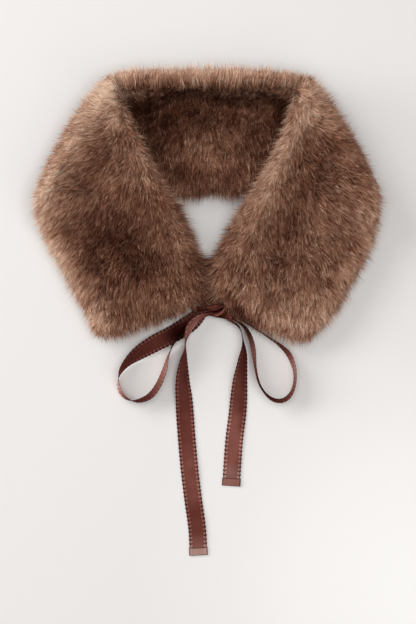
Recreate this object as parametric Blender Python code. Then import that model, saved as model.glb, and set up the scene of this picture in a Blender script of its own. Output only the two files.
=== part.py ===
"""Fur collar wrap, laid flat in its worn loop with the ribbon tied in a bow.

A straight double-faced strip of long-pile fur cloth is folded over once at each
side, so that its two ends run down over the back stretch and meet at the centre.
A satin ribbon at each end is tied in a bow. Lengths in the tables are millimetres.
+Z is up from the surface, +Y runs to the nape, X is across. The origin is at the
middle of the footprint, on the surface.
"""
import math

import bpy

MM = 0.001

# ---- driving sizes, mm -------------------------------------------------------
PANEL = 14.0          # one fur panel lying flat: backing and pile
BLUNT = 1.2           # least wall at a seam edge
SEAM = 0.4            # clear gap between panels at a seam
EDGE_ROUND = 18.0     # how far in from a long edge the pile reaches full height
FOOT_ROUND = 11.0     # the same on the underside, which is pressed on the surface
FOLD_ROUND = 24.0     # the same at a fold
FOLD_WRAP = 12.0      # depth of the outer panel where it turns the fold
FOLD_STEP = 14.0      # end of that turn
FOLD_INNER = 15.2     # where the inner panel starts inside the fold
CORNER = 6.0          # how far a corner of the outline is drawn in
LOWER_EDGE_Y = 129.0  # long edge of the back stretch nearest the opening
NECK_EDGE_Y = 269.0   # long edge of the back stretch at the nape
DRAPE = 50.0          # run over which a front comes down from the back stretch
NAPE_LOOSE = 2.4      # slack between a front and the standing nape edge
TABLE_SWELL = 4.0     # the fronts are thicker where nothing lies under them
RIM_TOP = 9.0         # width of the rounded top of the nape edge, which stands up between the folds
CREST = 7.0           # swell of the back stretch below the nape edge

RIBBON_WIDTH = 20.0
RIBBON_WALL = 1.2
HEM_LENGTH = 9.0
KNOT_AT = (11.0, -0.8, 8.9)
KNOT_SIZE = (28.0, 15.0, 15.6)
KNOT_TURN = -22.0     # degrees about Z

# ---- sections of the strip, mm -----------------------------------------------
# back stretch, from the left fold to the right fold
BACK_COLUMNS = ("nape_x", "nape_y", "low_x", "low_y", "bow")
BACK_SECTIONS = (
    (-104.0, 269.0, -194.5, 127.5, 7.5),
    (-84.0, 270.0, -136.0, 129.0, 3.0),
    (-46.0, 270.0, -60.0, 129.0, 0.0),
    (0.0, 269.0, 0.0, 129.0, 0.0),
    (46.0, 270.0, 60.0, 129.0, 0.0),
    (84.0, 270.0, 136.0, 129.0, -3.0),
    (104.0, 269.0, 194.0, 127.5, -7.5),
)
# the standing nape edge: how far it is lifted, and over what width it comes down
RIM_COLUMNS = ("x", "lift", "run")
RIM_SECTIONS = (
    (-130.0, 0.0, 40.0),
    (-104.0, 9.0, 40.0),
    (-80.0, 20.0, 40.0),
    (-54.0, 21.5, 37.0),
    (-32.0, 20.0, 25.0),
    (6.0, 22.0, 31.0),
    (46.0, 22.5, 35.0),
    (82.0, 20.0, 38.0),
    (104.0, 9.0, 38.0),
    (130.0, 0.0, 38.0),
)
# a front, from its fold to its end; x is measured out from the centre plane
FRONT_COLUMNS = ("in_x", "in_y", "out_x", "out_y", "bow")
FRONT_SECTIONS = {
    "left": (
        (105.5, 275.0, 196.3, 122.0, 7.5),
        (91.0, 231.5, 189.0, 92.0, 5.0),
        (72.0, 187.5, 176.0, 65.5, 2.0),
        (50.0, 144.5, 160.0, 40.0, 0.0),
        (27.0, 104.0, 147.0, 15.0, 0.0),
        (9.5, 63.5, 135.0, -9.5, 0.0),
        (0.8, 40.0, 131.5, -22.0, 0.0),
        (0.8, 9.5, 125.5, -37.5, 0.0),
    ),
    "right": (
        (105.0, 275.0, 195.5, 122.0, 7.5),
        (90.0, 231.5, 189.0, 94.0, 4.5),
        (76.5, 191.0, 181.0, 67.5, 3.0),
        (55.5, 147.0, 167.0, 40.0, 1.0),
        (31.5, 107.5, 150.5, 13.5, 0.0),
        (11.5, 72.0, 135.5, -11.0, 0.0),
        (0.8, 41.0, 125.5, -25.5, 0.0),
        (0.8, 11.5, 114.5, -39.5, -3.5),
    ),
}
# the largest soft folds of the fronts: a ridge is above nought, a trough below
RELIEF_COLUMNS = ("side", "x0", "y0", "x1", "y1", "rise", "spread")
RELIEF = (
    ("left", -76.0, 205.0, -36.0, 120.0, 5.0, 17.0),
    ("left", -141.0, 145.0, -66.0, 60.0, -5.0, 17.0),
    ("left", -118.0, 60.0, -96.0, 0.0, -2.5, 12.0),
    ("right", 98.0, 236.0, 38.0, 72.0, 6.0, 17.0),
    ("right", 132.0, 158.0, 78.0, 58.0, -6.0, 16.0),
    ("right", 78.0, 58.0, 68.0, 20.0, -4.0, 12.0),
    ("right", 91.0, 26.0, 84.0, -20.0, -3.0, 10.0),
)

# ---- sections of the ribbons, mm ---------------------------------------------
# lean is the turn about the ribbon's own length: 0 lies flat, 90 stands on edge
RIBBON_COLUMNS = ("x", "y", "z", "lean", "width")
TIE_LEFT = (
    (-11.5, 3.6, 15.0, 64.0, 11.0),
    (-8.0, 3.8, 14.8, 64.0, 10.5),
    (-4.6, 4.0, 14.2, 66.0, 10.0),
)
TIE_RIGHT = (
    (26.2, -4.7, 13.4, 60.0, 6.0),
    (28.4, -5.8, 13.6, 60.0, 6.0),
)
LOOP_LEFT = (
    (-4.6, -0.8, 4.6, 16.0, 11.0),
    (-11.5, -5.0, 3.6, 8.0, 17.0),
    (-21.5, -13.5, 3.0, 4.0, 20.0),
    (-39.5, -25.0, 3.6, 4.0, 20.0),
    (-58.0, -34.5, 6.0, 14.0, 20.0),
    (-76.5, -45.5, 9.0, 38.0, 20.0),
    (-89.0, -55.5, 10.2, 62.0, 20.0),
    (-96.5, -65.5, 10.8, 78.0, 20.0),
    (-99.5, -76.5, 11.0, 95.0, 20.0),
    (-97.0, -88.5, 11.0, 103.0, 20.0),
    (-88.5, -97.0, 11.0, 97.0, 20.0),
    (-77.0, -98.5, 10.8, 80.0, 20.0),
    (-64.5, -93.0, 10.6, 71.0, 20.0),
    (-55.0, -80.5, 10.7, 71.0, 20.0),
    (-48.5, -64.5, 10.9, 75.0, 20.0),
    (-44.0, -49.0, 12.5, 84.0, 20.0),
    (-39.0, -36.5, 15.5, 96.0, 20.0),
    (-33.5, -24.5, 16.5, 108.0, 20.0),
    (-27.5, -14.8, 16.2, 113.0, 19.0),
    (-19.5, -7.8, 15.6, 110.0, 16.0),
    (-11.0, -2.8, 14.2, 104.0, 12.0),
    (-5.4, -0.8, 13.2, 98.0, 9.0),
)
LOOP_RIGHT = (
    (29.6, -9.8, 11.0, 80.0, 10.0),
    (35.0, -12.9, 11.0, 80.0, 15.0),
    (41.0, -18.8, 11.0, 79.0, 19.0),
    (46.2, -29.0, 10.8, 75.0, 20.0),
    (49.6, -43.0, 10.8, 75.0, 20.0),
    (51.8, -62.0, 10.9, 82.0, 20.0),
    (55.5, -78.0, 11.0, 84.0, 20.0),
    (62.0, -89.5, 11.0, 84.0, 20.0),
    (70.5, -96.8, 10.9, 80.0, 20.0),
    (80.0, -98.5, 10.8, 78.0, 20.0),
    (88.5, -94.0, 10.9, 79.0, 20.0),
    (94.0, -83.5, 10.9, 82.0, 20.0),
    (95.5, -70.0, 10.9, 82.0, 20.0),
    (93.5, -58.5, 10.8, 78.0, 20.0),
    (88.0, -46.5, 10.8, 75.0, 20.0),
    (78.5, -37.0, 10.9, 80.0, 19.0),
    (66.0, -28.4, 9.6, 85.0, 16.0),
    (52.5, -19.8, 8.2, 88.0, 12.5),
    (40.5, -12.2, 7.8, 88.0, 10.0),
    (31.8, -7.6, 8.4, 88.0, 8.0),
)
TAIL_LEFT = (
    (-3.6, -4.0, 12.4, 58.0, 8.0),
    (-8.4, -6.0, 15.2, 61.0, 12.0),
    (-13.2, -8.9, 17.2, 62.0, 16.0),
    (-17.6, -13.2, 17.8, 63.0, 19.0),
    (-20.6, -18.2, 17.4, 66.0, 20.0),
    (-22.8, -24.6, 16.2, 74.0, 20.0),
    (-24.6, -31.6, 14.6, 84.0, 20.0),
    (-25.8, -39.5, 12.6, 88.0, 20.0),
    (-27.2, -50.0, 10.6, 72.0, 20.0),
    (-28.4, -64.0, 8.5, 53.0, 20.0),
    (-28.5, -80.0, 6.6, 36.0, 20.0),
    (-27.0, -97.5, 4.0, 19.0, 20.0),
    (-26.0, -114.0, 1.7, 4.0, 20.0),
    (-24.0, -141.5, 1.3, 1.6, 20.0),
    (-21.0, -174.5, 1.7, -1.8, 20.0),
    (-17.0, -207.5, 1.3, 1.4, 20.0),
    (-12.5, -240.5, 1.6, -1.6, 20.0),
    (-11.0, -269.6, 1.3, 1.2, 20.0),
)
TAIL_RIGHT = (
    (27.0, -11.8, 9.6, 80.0, 9.0),
    (32.0, -15.4, 10.6, 84.0, 14.0),
    (35.6, -20.8, 11.0, 88.0, 19.0),
    (37.6, -28.4, 11.0, 88.0, 20.0),
    (38.5, -37.5, 10.8, 80.0, 20.0),
    (38.2, -48.0, 9.8, 64.0, 20.0),
    (36.6, -62.0, 8.2, 50.0, 20.0),
    (35.0, -74.5, 6.5, 37.0, 20.0),
    (33.5, -95.0, 3.9, 18.0, 20.0),
    (32.0, -114.0, 1.7, 4.0, 20.0),
    (28.5, -141.5, 1.4, -1.6, 20.0),
    (26.5, -169.0, 1.7, 1.8, 20.0),
    (25.0, -193.0, 1.3, -1.2, 20.0),
)


# ---- small functions ---------------------------------------------------------
def ease(lo, hi, t):
    """0 below lo, 1 above hi, smooth between."""
    t = min(1.0, max(0.0, (t - lo) / (hi - lo)))
    return t * t * (3.0 - 2.0 * t)


def round_in(e, run):
    """Quarter ellipse: 0 on an edge, 1 from run inwards."""
    e = min(max(e, 0.0), run)
    return math.sqrt(max(0.0, 1.0 - (1.0 - e / run) ** 2))


def along(rows, t, keys):
    """The row at t, on a smooth curve through the rows at the given keys."""
    n = len(rows)
    k = 0
    while k < n - 2 and t > keys[k + 1]:
        k += 1
    h = keys[k + 1] - keys[k]
    f = min(1.0, max(0.0, (t - keys[k]) / h))
    out = []
    for c in range(len(rows[0])):
        def slope(i):
            if i == 0:
                return (rows[1][c] - rows[0][c]) / (keys[1] - keys[0])
            if i == n - 1:
                return (rows[-1][c] - rows[-2][c]) / (keys[-1] - keys[-2])
            return (rows[i + 1][c] - rows[i - 1][c]) / (keys[i + 1] - keys[i - 1])
        a, b = rows[k][c], rows[k + 1][c]
        ma, mb = slope(k) * h, slope(k + 1) * h
        f2, f3 = f * f, f * f * f
        out.append((2 * f3 - 3 * f2 + 1) * a + (f3 - 2 * f2 + f) * ma
                   + (3 * f2 - 2 * f3) * b + (f3 - f2) * mb)
    return out


def keys_of(points):
    """Share of the whole length at each point, 0 to 1."""
    run = [0.0]
    for p, q in zip(points, points[1:]):
        run.append(run[-1] + math.dist(p, q))
    return [r / run[-1] for r in run], run[-1]


class Stretch:
    """A stretch of the strip: sections between its two long edges."""

    def __init__(self, rows, side, bow):
        self.rows = [(r[0] * side, r[1], r[2] * side, r[3], r[4] * bow) for r in rows]
        middles = [((r[0] + r[2]) / 2, (r[1] + r[3]) / 2) for r in self.rows]
        self.keys, self.length = keys_of(middles)
        self.side = side

    def place(self, u, v):
        """Plan position: u across from the first long edge, v along, both 0 to 1."""
        a, b = 2 * u - 1, 2 * v - 1
        half_w, half_l = 70.0, self.length / 2
        a *= 1 - (CORNER / half_w) * abs(b) ** 8
        b *= 1 - (CORNER / half_l) * abs(2 * u - 1) ** 6
        u, v = (a + 1) / 2, (b + 1) / 2
        x0, y0, x1, y1, bow = along(self.rows, v, self.keys)
        dx, dy = x1 - x0, y1 - y0
        d = math.hypot(dx, dy)
        out = bow * 4 * u * (1 - u)
        return x0 + dx * u + dy / d * out, y0 + dy * u - dx / d * out

    def width(self, v):
        x0, y0, x1, y1, _ = along(self.rows, v, self.keys)
        return math.hypot(x1 - x0, y1 - y0)


BACK = Stretch(BACK_SECTIONS, 1.0, 1.0)
FRONT = {"left": Stretch(FRONT_SECTIONS["left"], -1.0, 1.0),
         "right": Stretch(FRONT_SECTIONS["right"], 1.0, -1.0)}


# ---- heights -----------------------------------------------------------------
def rim(x, y):
    """Rise of the nape edge, which stands up between the two folds."""
    first, last = RIM_SECTIONS[0][0], RIM_SECTIONS[-1][0]
    if not first < x < last:
        return 0.0
    _, lift, run = along(RIM_SECTIONS, x, [row[0] for row in RIM_SECTIONS])
    return max(0.0, lift) * (1 - ease(RIM_TOP, RIM_TOP + run, NECK_EDGE_Y - y))


def crest(x, y):
    """Swell of the open part of the back stretch, which ends where a front covers it."""
    open_half = 99.0 - 0.46 * (NECK_EDGE_Y - y)
    return (CREST * (1 - ease(0.2 * open_half, open_half, abs(x)))
            * ease(130.0, 165.0, y) * (1 - ease(180.0, 222.0, y)))


def on_back(y):
    """1 where a front lies on the back stretch, 0 where it lies on the surface."""
    return ease(LOWER_EDGE_Y - DRAPE, LOWER_EDGE_Y - 5.0, y)


def bed(x, y):
    """What a front lies on: the back stretch, then down to the surface."""
    loose = NAPE_LOOSE * (1 - ease(118.0, 158.0, abs(x))) * (1 - ease(44.0, 72.0, NECK_EDGE_Y - y))
    return on_back(y) * (2 * PANEL + 0.5 + rim(x, y) + loose)


def relief(side, x, y):
    """Sum of the soft folds at a point."""
    total = 0.0
    for row_side, x0, y0, x1, y1, rise, spread in RELIEF:
        if row_side != side:
            continue
        dx, dy = x1 - x0, y1 - y0
        t = ((x - x0) * dx + (y - y0) * dy) / (dx * dx + dy * dy)
        t = min(1.0, max(0.0, t))
        d = math.hypot(x - x0 - t * dx, y - y0 - t * dy)
        total += rise * math.exp(-(d / spread) ** 2)
    return total


class BackHeights:
    """Heights of the two back panels at a place of their grid."""

    def __init__(self, u, v):
        self.x, self.y = BACK.place(u, v)
        w = BACK.width(v)
        self.long_edge = round_in(u * w, EDGE_ROUND) * round_in((1 - u) * w, EDGE_ROUND)
        self.foot_edge = round_in(u * w, FOOT_ROUND) * round_in((1 - u) * w, FOOT_ROUND)
        self.from_fold = min(v, 1 - v) * BACK.length
        self.turn = round_in(self.from_fold, FOLD_ROUND)
        self.plane = 2 * PANEL + rim(self.x, self.y)
        self.mid = self.plane - PANEL * self.turn

    def outer_bottom(self):
        return self.mid - BLUNT - (PANEL - BLUNT) * self.turn * self.foot_edge

    def outer_top(self):
        if self.from_fold < FOLD_WRAP + 0.5:
            return self.mid - SEAM / 2 + (self.plane - self.mid) * self.long_edge
        return self.mid - SEAM / 2

    def inner_bottom(self):
        return self.mid + SEAM / 2

    def inner_top(self):
        swell = crest(self.x, self.y)
        return self.plane - PANEL + BLUNT - SEAM / 2 + (PANEL - BLUNT + swell) * self.long_edge


class FrontHeights:
    """Heights of the two panels of a front at a place of their grid."""

    def __init__(self, side, u, v):
        self.side = side
        stretch = FRONT[side]
        self.x, self.y = stretch.place(u, v)
        w = stretch.width(v)
        from_end = (1 - v) * stretch.length
        self.edges = (round_in(u * w, EDGE_ROUND) * round_in((1 - u) * w, EDGE_ROUND)
                      * round_in(from_end, EDGE_ROUND))
        self.feet = (round_in(u * w, FOOT_ROUND) * round_in((1 - u) * w, FOOT_ROUND)
                     * round_in(from_end, FOOT_ROUND))
        self.from_fold = v * stretch.length
        self.turn = round_in(self.from_fold, FOLD_ROUND)
        self.bed = bed(self.x, self.y)
        self.half = PANEL + 1.0 + TABLE_SWELL / 2 * (1 - on_back(self.y))
        self.mid = self.bed + self.half * self.turn

    def outer_top(self):
        return (self.mid + BLUNT + SEAM / 2
                + (self.half - BLUNT + relief(self.side, self.x, self.y)) * self.turn * self.edges)

    def outer_bottom(self):
        if self.from_fold < FOLD_WRAP + 0.5:
            return self.mid + SEAM / 2 - (self.mid - self.bed) * self.edges
        return self.mid + SEAM / 2

    def inner_top(self):
        return self.mid - SEAM / 2

    def inner_bottom(self):
        return self.mid - BLUNT - (self.mid - self.bed - BLUNT) * self.feet


# ---- grid lines --------------------------------------------------------------
EDGE_LINES = (0.0, 1.5, 5.0, 10.5, 18.0)
FOLD_LINES = (0.0, 1.6, 5.0, 9.0, FOLD_WRAP, FOLD_STEP)
ACROSS_LINES = (31.0, 49.0, 70.0, 91.0, 109.0)


def lines_across():
    full = 140.0
    e = list(EDGE_LINES) + list(ACROSS_LINES) + [full - k for k in reversed(EDGE_LINES)]
    return [k / full for k in e]


def lines_back():
    full = BACK.length
    inner = [FOLD_INNER, FOLD_ROUND, 40.0, 58.0, 78.0, 99.0, 121.0]
    half = [k for k in inner if k < full / 2 - 8]
    folds = list(FOLD_LINES)
    e = folds + half + [full / 2] + [full - k for k in reversed(half)] + [full - k for k in reversed(folds)]
    return [k / full for k in e]


def lines_front(length):
    inner = [FOLD_INNER, FOLD_ROUND, 38.0, 54.0, 71.0, 89.0, 108.0, 128.0, 148.0, 168.0, 188.0]
    inner = [k for k in inner if k < length - EDGE_LINES[-1] - 6]
    e = list(FOLD_LINES) + inner + [length - k for k in reversed(EDGE_LINES)]
    return [k / length for k in e]


# ---- building ----------------------------------------------------------------
def solid_from_layers(name, upper, lower):
    """Closed solid between two grids of points of the same rows and columns."""
    rows, cols = len(upper), len(upper[0])
    verts = [p for line in upper for p in line] + [p for line in lower for p in line]
    low = rows * cols

    def at(i, j):
        return i * cols + j

    faces = []
    for i in range(rows - 1):
        for j in range(cols - 1):
            a, b, c, d = at(i, j), at(i, j + 1), at(i + 1, j + 1), at(i + 1, j)
            faces += [(a, b, c), (a, c, d)]
            faces += [(low + c, low + b, low + a), (low + d, low + c, low + a)]
    ring = ([at(0, j) for j in range(cols)] + [at(i, cols - 1) for i in range(1, rows)]
            + [at(rows - 1, j) for j in range(cols - 2, -1, -1)] + [at(i, 0) for i in range(rows - 2, 0, -1)])
    for p, q in zip(ring, ring[1:] + ring[:1]):
        faces += [(q, p, low + p), (low + q, q, low + p)]
    return object_from(name, verts, faces)


def object_from(name, verts, faces):
    mesh = bpy.data.meshes.new(name)
    mesh.from_pydata([(x * MM, y * MM, z * MM) for x, y, z in verts], [], faces)
    mesh.update()
    volume = 0.0
    for f in faces:
        a, b, c = (verts[k] for k in f[:3])
        volume += (a[0] * (b[1] * c[2] - b[2] * c[1]) - a[1] * (b[0] * c[2] - b[2] * c[0])
                   + a[2] * (b[0] * c[1] - b[1] * c[0])) / 6
    if volume < 0:
        mesh.flip_normals()
    obj = bpy.data.objects.new(name, mesh)
    parts.objects.link(obj)
    mesh.shade_smooth()
    mesh.set_sharp_from_angle(angle=math.radians(40))
    return obj


def panel(name, make, us, vs, top, bottom):
    upper, lower = [], []
    for v in vs:
        up, down = [], []
        for u in us:
            h = make(u, v)
            up.append((h.x, h.y, getattr(h, top)()))
            down.append((h.x, h.y, getattr(h, bottom)()))
        upper.append(up)
        lower.append(down)
    return solid_from_layers(name, upper, lower)


def ribbon(name, rows, steps, hem=False):
    """Flat ribbon along its sections, turned about its own length by their lean."""
    keys, length = keys_of([r[:3] for r in rows])
    ts = [i / steps for i in range(steps + 1)]
    if hem:
        fold = 1 - HEM_LENGTH / length
        ts = [t for t in ts if t < fold - 0.02] + [fold - 0.006, fold, 1.0]
    points = [along(rows, t, keys) for t in ts]
    rings = []
    for i, (x, y, z, lean, width) in enumerate(points):
        p, q = points[max(i - 1, 0)], points[min(i + 1, len(points) - 1)]
        t = [q[k] - p[k] for k in range(3)]
        n = math.sqrt(sum(k * k for k in t))
        t = [k / n for k in t]
        flat = math.hypot(t[0], t[1])
        side = (-t[1] / flat, t[0] / flat, 0.0)
        rise = (t[1] * side[2] - t[2] * side[1], t[2] * side[0] - t[0] * side[2], t[0] * side[1] - t[1] * side[0])
        if rise[2] < 0:
            rise = tuple(-k for k in rise)
        c, s = math.cos(math.radians(lean)), math.sin(math.radians(lean))
        across = [side[k] * c - rise[k] * s for k in range(3)]
        face = [side[k] * s + rise[k] * c for k in range(3)]
        half_w, half_t = width / 2, RIBBON_WALL / 2
        if hem and ts[i] >= fold:
            lift = 0.25
        else:
            lift = 0.0
        ring = []
        for a, b in ((-1, -1), (1, -1), (1, 1), (-1, 1)):
            wall = half_t + (lift if b > 0 else 0.0)
            ring.append(tuple((x, y, z)[k] + a * half_w * across[k] + b * wall * face[k] for k in range(3)))
        rings.append(ring)
    verts = [p for ring in rings for p in ring]
    faces = []
    for i in range(len(rings) - 1):
        for j in range(4):
            a, b = i * 4 + j, i * 4 + (j + 1) % 4
            c, d = b + 4, a + 4
            # both broad faces are cut along the same way across, so that the wall stays even where it twists
            faces += [(a, b, c), (a, c, d)] if j < 2 else [(a, b, d), (b, c, d)]
    last = (len(rings) - 1) * 4
    faces += [(3, 2, 1), (3, 1, 0), (last, last + 1, last + 2), (last, last + 2, last + 3)]
    return object_from(name, verts, faces)


def knot(name):
    """The pulled knot: a rounded lump, pinched where the ribbon wraps it."""
    bpy.ops.mesh.primitive_uv_sphere_add(segments=16, ring_count=10, radius=0.5)
    obj = bpy.context.object
    obj.name = obj.data.name = name
    for collection in list(obj.users_collection):
        collection.objects.unlink(obj)
    parts.objects.link(obj)
    for vert in obj.data.vertices:
        x, y, z = vert.co
        pinch = 1.0 - 0.12 * math.exp(-((x - 0.12) / 0.12) ** 2)
        flat = 1.0 - 0.25 * max(0.0, abs(x) - 0.3)
        vert.co = (x * KNOT_SIZE[0] * MM, y * pinch * KNOT_SIZE[1] * MM, z * pinch * flat * KNOT_SIZE[2] * MM)
    obj.location = tuple(k * MM for k in KNOT_AT)
    obj.rotation_euler = (0.0, 0.0, math.radians(KNOT_TURN))
    obj.data.shade_smooth()
    return obj


def paint(obj, name, colour, roughness, sheen):
    """The piece's own cloth: colour, roughness and sheen."""
    material = bpy.data.materials.new(name)
    material.use_nodes = True
    shader = material.node_tree.nodes["Principled BSDF"]
    shader.inputs["Base Color"].default_value = (*colour, 1.0)
    shader.inputs["Roughness"].default_value = roughness
    shader.inputs["Metallic"].default_value = 0.0
    shader.inputs["Sheen Weight"].default_value = sheen
    material.diffuse_color = (*colour, 1.0)
    obj.data.materials.append(material)


for old in list(bpy.data.objects):
    bpy.data.objects.remove(old, do_unlink=True)

parts = bpy.data.collections.new("fur_collar_wrap")
bpy.context.scene.collection.children.link(parts)

FUR_OUT = (0.19, 0.095, 0.062)
FUR_IN = (0.12, 0.055, 0.036)
SATIN = (0.11, 0.035, 0.024)

across = lines_across()
back_lines = lines_back()
back_inner = [v for v in back_lines if FOLD_INNER - 0.1 <= min(v, 1 - v) * BACK.length]

outer_panel_back = panel("outer_panel_back", BackHeights, across, back_lines, "outer_top", "outer_bottom")
inner_panel_back = panel("inner_panel_back", BackHeights, across, back_inner, "inner_top", "inner_bottom")
paint(outer_panel_back, "fur_outer_back", FUR_OUT, 0.85, 0.3)
paint(inner_panel_back, "fur_inner_back", FUR_IN, 0.85, 0.3)

for side in ("left", "right"):
    stretch = FRONT[side]
    vs = lines_front(stretch.length)
    vs_inner = [v for v in vs if v * stretch.length >= FOLD_INNER - 0.1]

    def make(u, v, side=side):
        return FrontHeights(side, u, v)

    outer = panel("outer_panel_" + side, make, across, vs, "outer_top", "outer_bottom")
    inner = panel("inner_panel_" + side, make, across, vs_inner, "inner_top", "inner_bottom")
    paint(outer, "fur_outer_" + side, FUR_OUT, 0.85, 0.3)
    paint(inner, "fur_inner_" + side, FUR_IN, 0.85, 0.3)

for name, rows, steps, hem in (
        ("ribbon_tie_left", TIE_LEFT, 3, False),
        ("ribbon_tie_right", TIE_RIGHT, 2, False),
        ("bow_loop_left", LOOP_LEFT, 54, False),
        ("bow_loop_right", LOOP_RIGHT, 46, False),
        ("ribbon_tail_left", TAIL_LEFT, 44, True),
        ("ribbon_tail_right", TAIL_RIGHT, 32, True)):
    paint(ribbon(name, rows, steps, hem), "satin_" + name, SATIN, 0.42, 0.2)

paint(knot("bow_knot"), "satin_bow_knot", SATIN, 0.42, 0.2)
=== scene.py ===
import math

import bpy
import numpy as np
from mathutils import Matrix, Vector


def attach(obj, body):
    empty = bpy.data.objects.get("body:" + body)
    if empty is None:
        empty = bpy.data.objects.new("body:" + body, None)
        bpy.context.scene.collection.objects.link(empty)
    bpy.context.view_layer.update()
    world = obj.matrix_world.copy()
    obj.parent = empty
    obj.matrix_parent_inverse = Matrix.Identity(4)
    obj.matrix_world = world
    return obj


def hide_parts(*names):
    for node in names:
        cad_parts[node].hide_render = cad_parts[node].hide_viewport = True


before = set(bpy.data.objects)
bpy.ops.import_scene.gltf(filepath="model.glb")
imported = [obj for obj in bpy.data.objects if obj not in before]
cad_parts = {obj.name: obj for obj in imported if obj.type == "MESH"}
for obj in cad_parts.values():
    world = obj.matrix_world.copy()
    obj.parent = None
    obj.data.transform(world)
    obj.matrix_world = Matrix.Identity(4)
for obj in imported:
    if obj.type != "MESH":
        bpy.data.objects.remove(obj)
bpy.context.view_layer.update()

MM = 0.001
RNG_SEED = 4117

# ---- the strip's own sizes, mm, the same as the solids' ------------------------
PANEL = 14.0
BLUNT = 1.2
SEAM = 0.4
EDGE_ROUND = 18.0
FOOT_ROUND = 11.0
FOLD_ROUND = 24.0
CORNER = 6.0
LOWER_EDGE_Y = 129.0
NECK_EDGE_Y = 269.0
DRAPE = 50.0
NAPE_LOOSE = 2.4
TABLE_SWELL = 4.0
RIM_TOP = 9.0
CREST = 7.0
RIBBON_WIDTH = 20.0

BACK_SECTIONS = (
    (-104.0, 269.0, -194.5, 127.5, 7.5),
    (-84.0, 270.0, -136.0, 129.0, 3.0),
    (-46.0, 270.0, -60.0, 129.0, 0.0),
    (0.0, 269.0, 0.0, 129.0, 0.0),
    (46.0, 270.0, 60.0, 129.0, 0.0),
    (84.0, 270.0, 136.0, 129.0, -3.0),
    (104.0, 269.0, 194.0, 127.5, -7.5),
)
RIM_SECTIONS = (
    (-130.0, 0.0, 40.0),
    (-104.0, 9.0, 40.0),
    (-80.0, 20.0, 40.0),
    (-54.0, 21.5, 37.0),
    (-32.0, 20.0, 25.0),
    (6.0, 22.0, 31.0),
    (46.0, 22.5, 35.0),
    (82.0, 20.0, 38.0),
    (104.0, 9.0, 38.0),
    (130.0, 0.0, 38.0),
)
FRONT_SECTIONS = {
    "left": (
        (105.5, 275.0, 196.3, 122.0, 7.5),
        (91.0, 231.5, 189.0, 92.0, 5.0),
        (72.0, 187.5, 176.0, 65.5, 2.0),
        (50.0, 144.5, 160.0, 40.0, 0.0),
        (27.0, 104.0, 147.0, 15.0, 0.0),
        (9.5, 63.5, 135.0, -9.5, 0.0),
        (0.8, 40.0, 131.5, -22.0, 0.0),
        (0.8, 9.5, 125.5, -37.5, 0.0),
    ),
    "right": (
        (105.0, 275.0, 195.5, 122.0, 7.5),
        (90.0, 231.5, 189.0, 94.0, 4.5),
        (76.5, 191.0, 181.0, 67.5, 3.0),
        (55.5, 147.0, 167.0, 40.0, 1.0),
        (31.5, 107.5, 150.5, 13.5, 0.0),
        (11.5, 72.0, 135.5, -11.0, 0.0),
        (0.8, 41.0, 125.5, -25.5, 0.0),
        (0.8, 11.5, 114.5, -39.5, -3.5),
    ),
}
RELIEF = (
    ("left", -76.0, 205.0, -36.0, 120.0, 5.0, 17.0),
    ("left", -141.0, 145.0, -66.0, 60.0, -5.0, 17.0),
    ("left", -118.0, 60.0, -96.0, 0.0, -2.5, 12.0),
    ("right", 98.0, 236.0, 38.0, 72.0, 6.0, 17.0),
    ("right", 132.0, 158.0, 78.0, 58.0, -6.0, 16.0),
    ("right", 78.0, 58.0, 68.0, 20.0, -4.0, 12.0),
    ("right", 91.0, 26.0, 84.0, -20.0, -3.0, 10.0),
)
# ribbons: x, y, z, lean, width
TIE_LEFT = (
    (-11.5, 3.6, 15.0, 64.0, 11.0),
    (-8.0, 3.8, 14.8, 64.0, 10.5),
    (-4.6, 4.0, 14.2, 66.0, 10.0),
)
TIE_RIGHT = (
    (26.2, -4.7, 13.4, 60.0, 6.0),
    (28.4, -5.8, 13.6, 60.0, 6.0),
)
LOOP_LEFT = (
    (-4.6, -0.8, 4.6, 16.0, 11.0),
    (-11.5, -5.0, 3.6, 8.0, 17.0),
    (-21.5, -13.5, 3.0, 4.0, 20.0),
    (-39.5, -25.0, 3.6, 4.0, 20.0),
    (-58.0, -34.5, 6.0, 14.0, 20.0),
    (-76.5, -45.5, 9.0, 38.0, 20.0),
    (-89.0, -55.5, 10.2, 62.0, 20.0),
    (-96.5, -65.5, 10.8, 78.0, 20.0),
    (-99.5, -76.5, 11.0, 95.0, 20.0),
    (-97.0, -88.5, 11.0, 103.0, 20.0),
    (-88.5, -97.0, 11.0, 97.0, 20.0),
    (-77.0, -98.5, 10.8, 80.0, 20.0),
    (-64.5, -93.0, 10.6, 71.0, 20.0),
    (-55.0, -80.5, 10.7, 71.0, 20.0),
    (-48.5, -64.5, 10.9, 75.0, 20.0),
    (-44.0, -49.0, 12.5, 84.0, 20.0),
    (-39.0, -36.5, 15.5, 96.0, 20.0),
    (-33.5, -24.5, 16.5, 108.0, 20.0),
    (-27.5, -14.8, 16.2, 113.0, 19.0),
    (-19.5, -7.8, 15.6, 110.0, 16.0),
    (-11.0, -2.8, 14.2, 104.0, 12.0),
    (-5.4, -0.8, 13.2, 98.0, 9.0),
)
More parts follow.
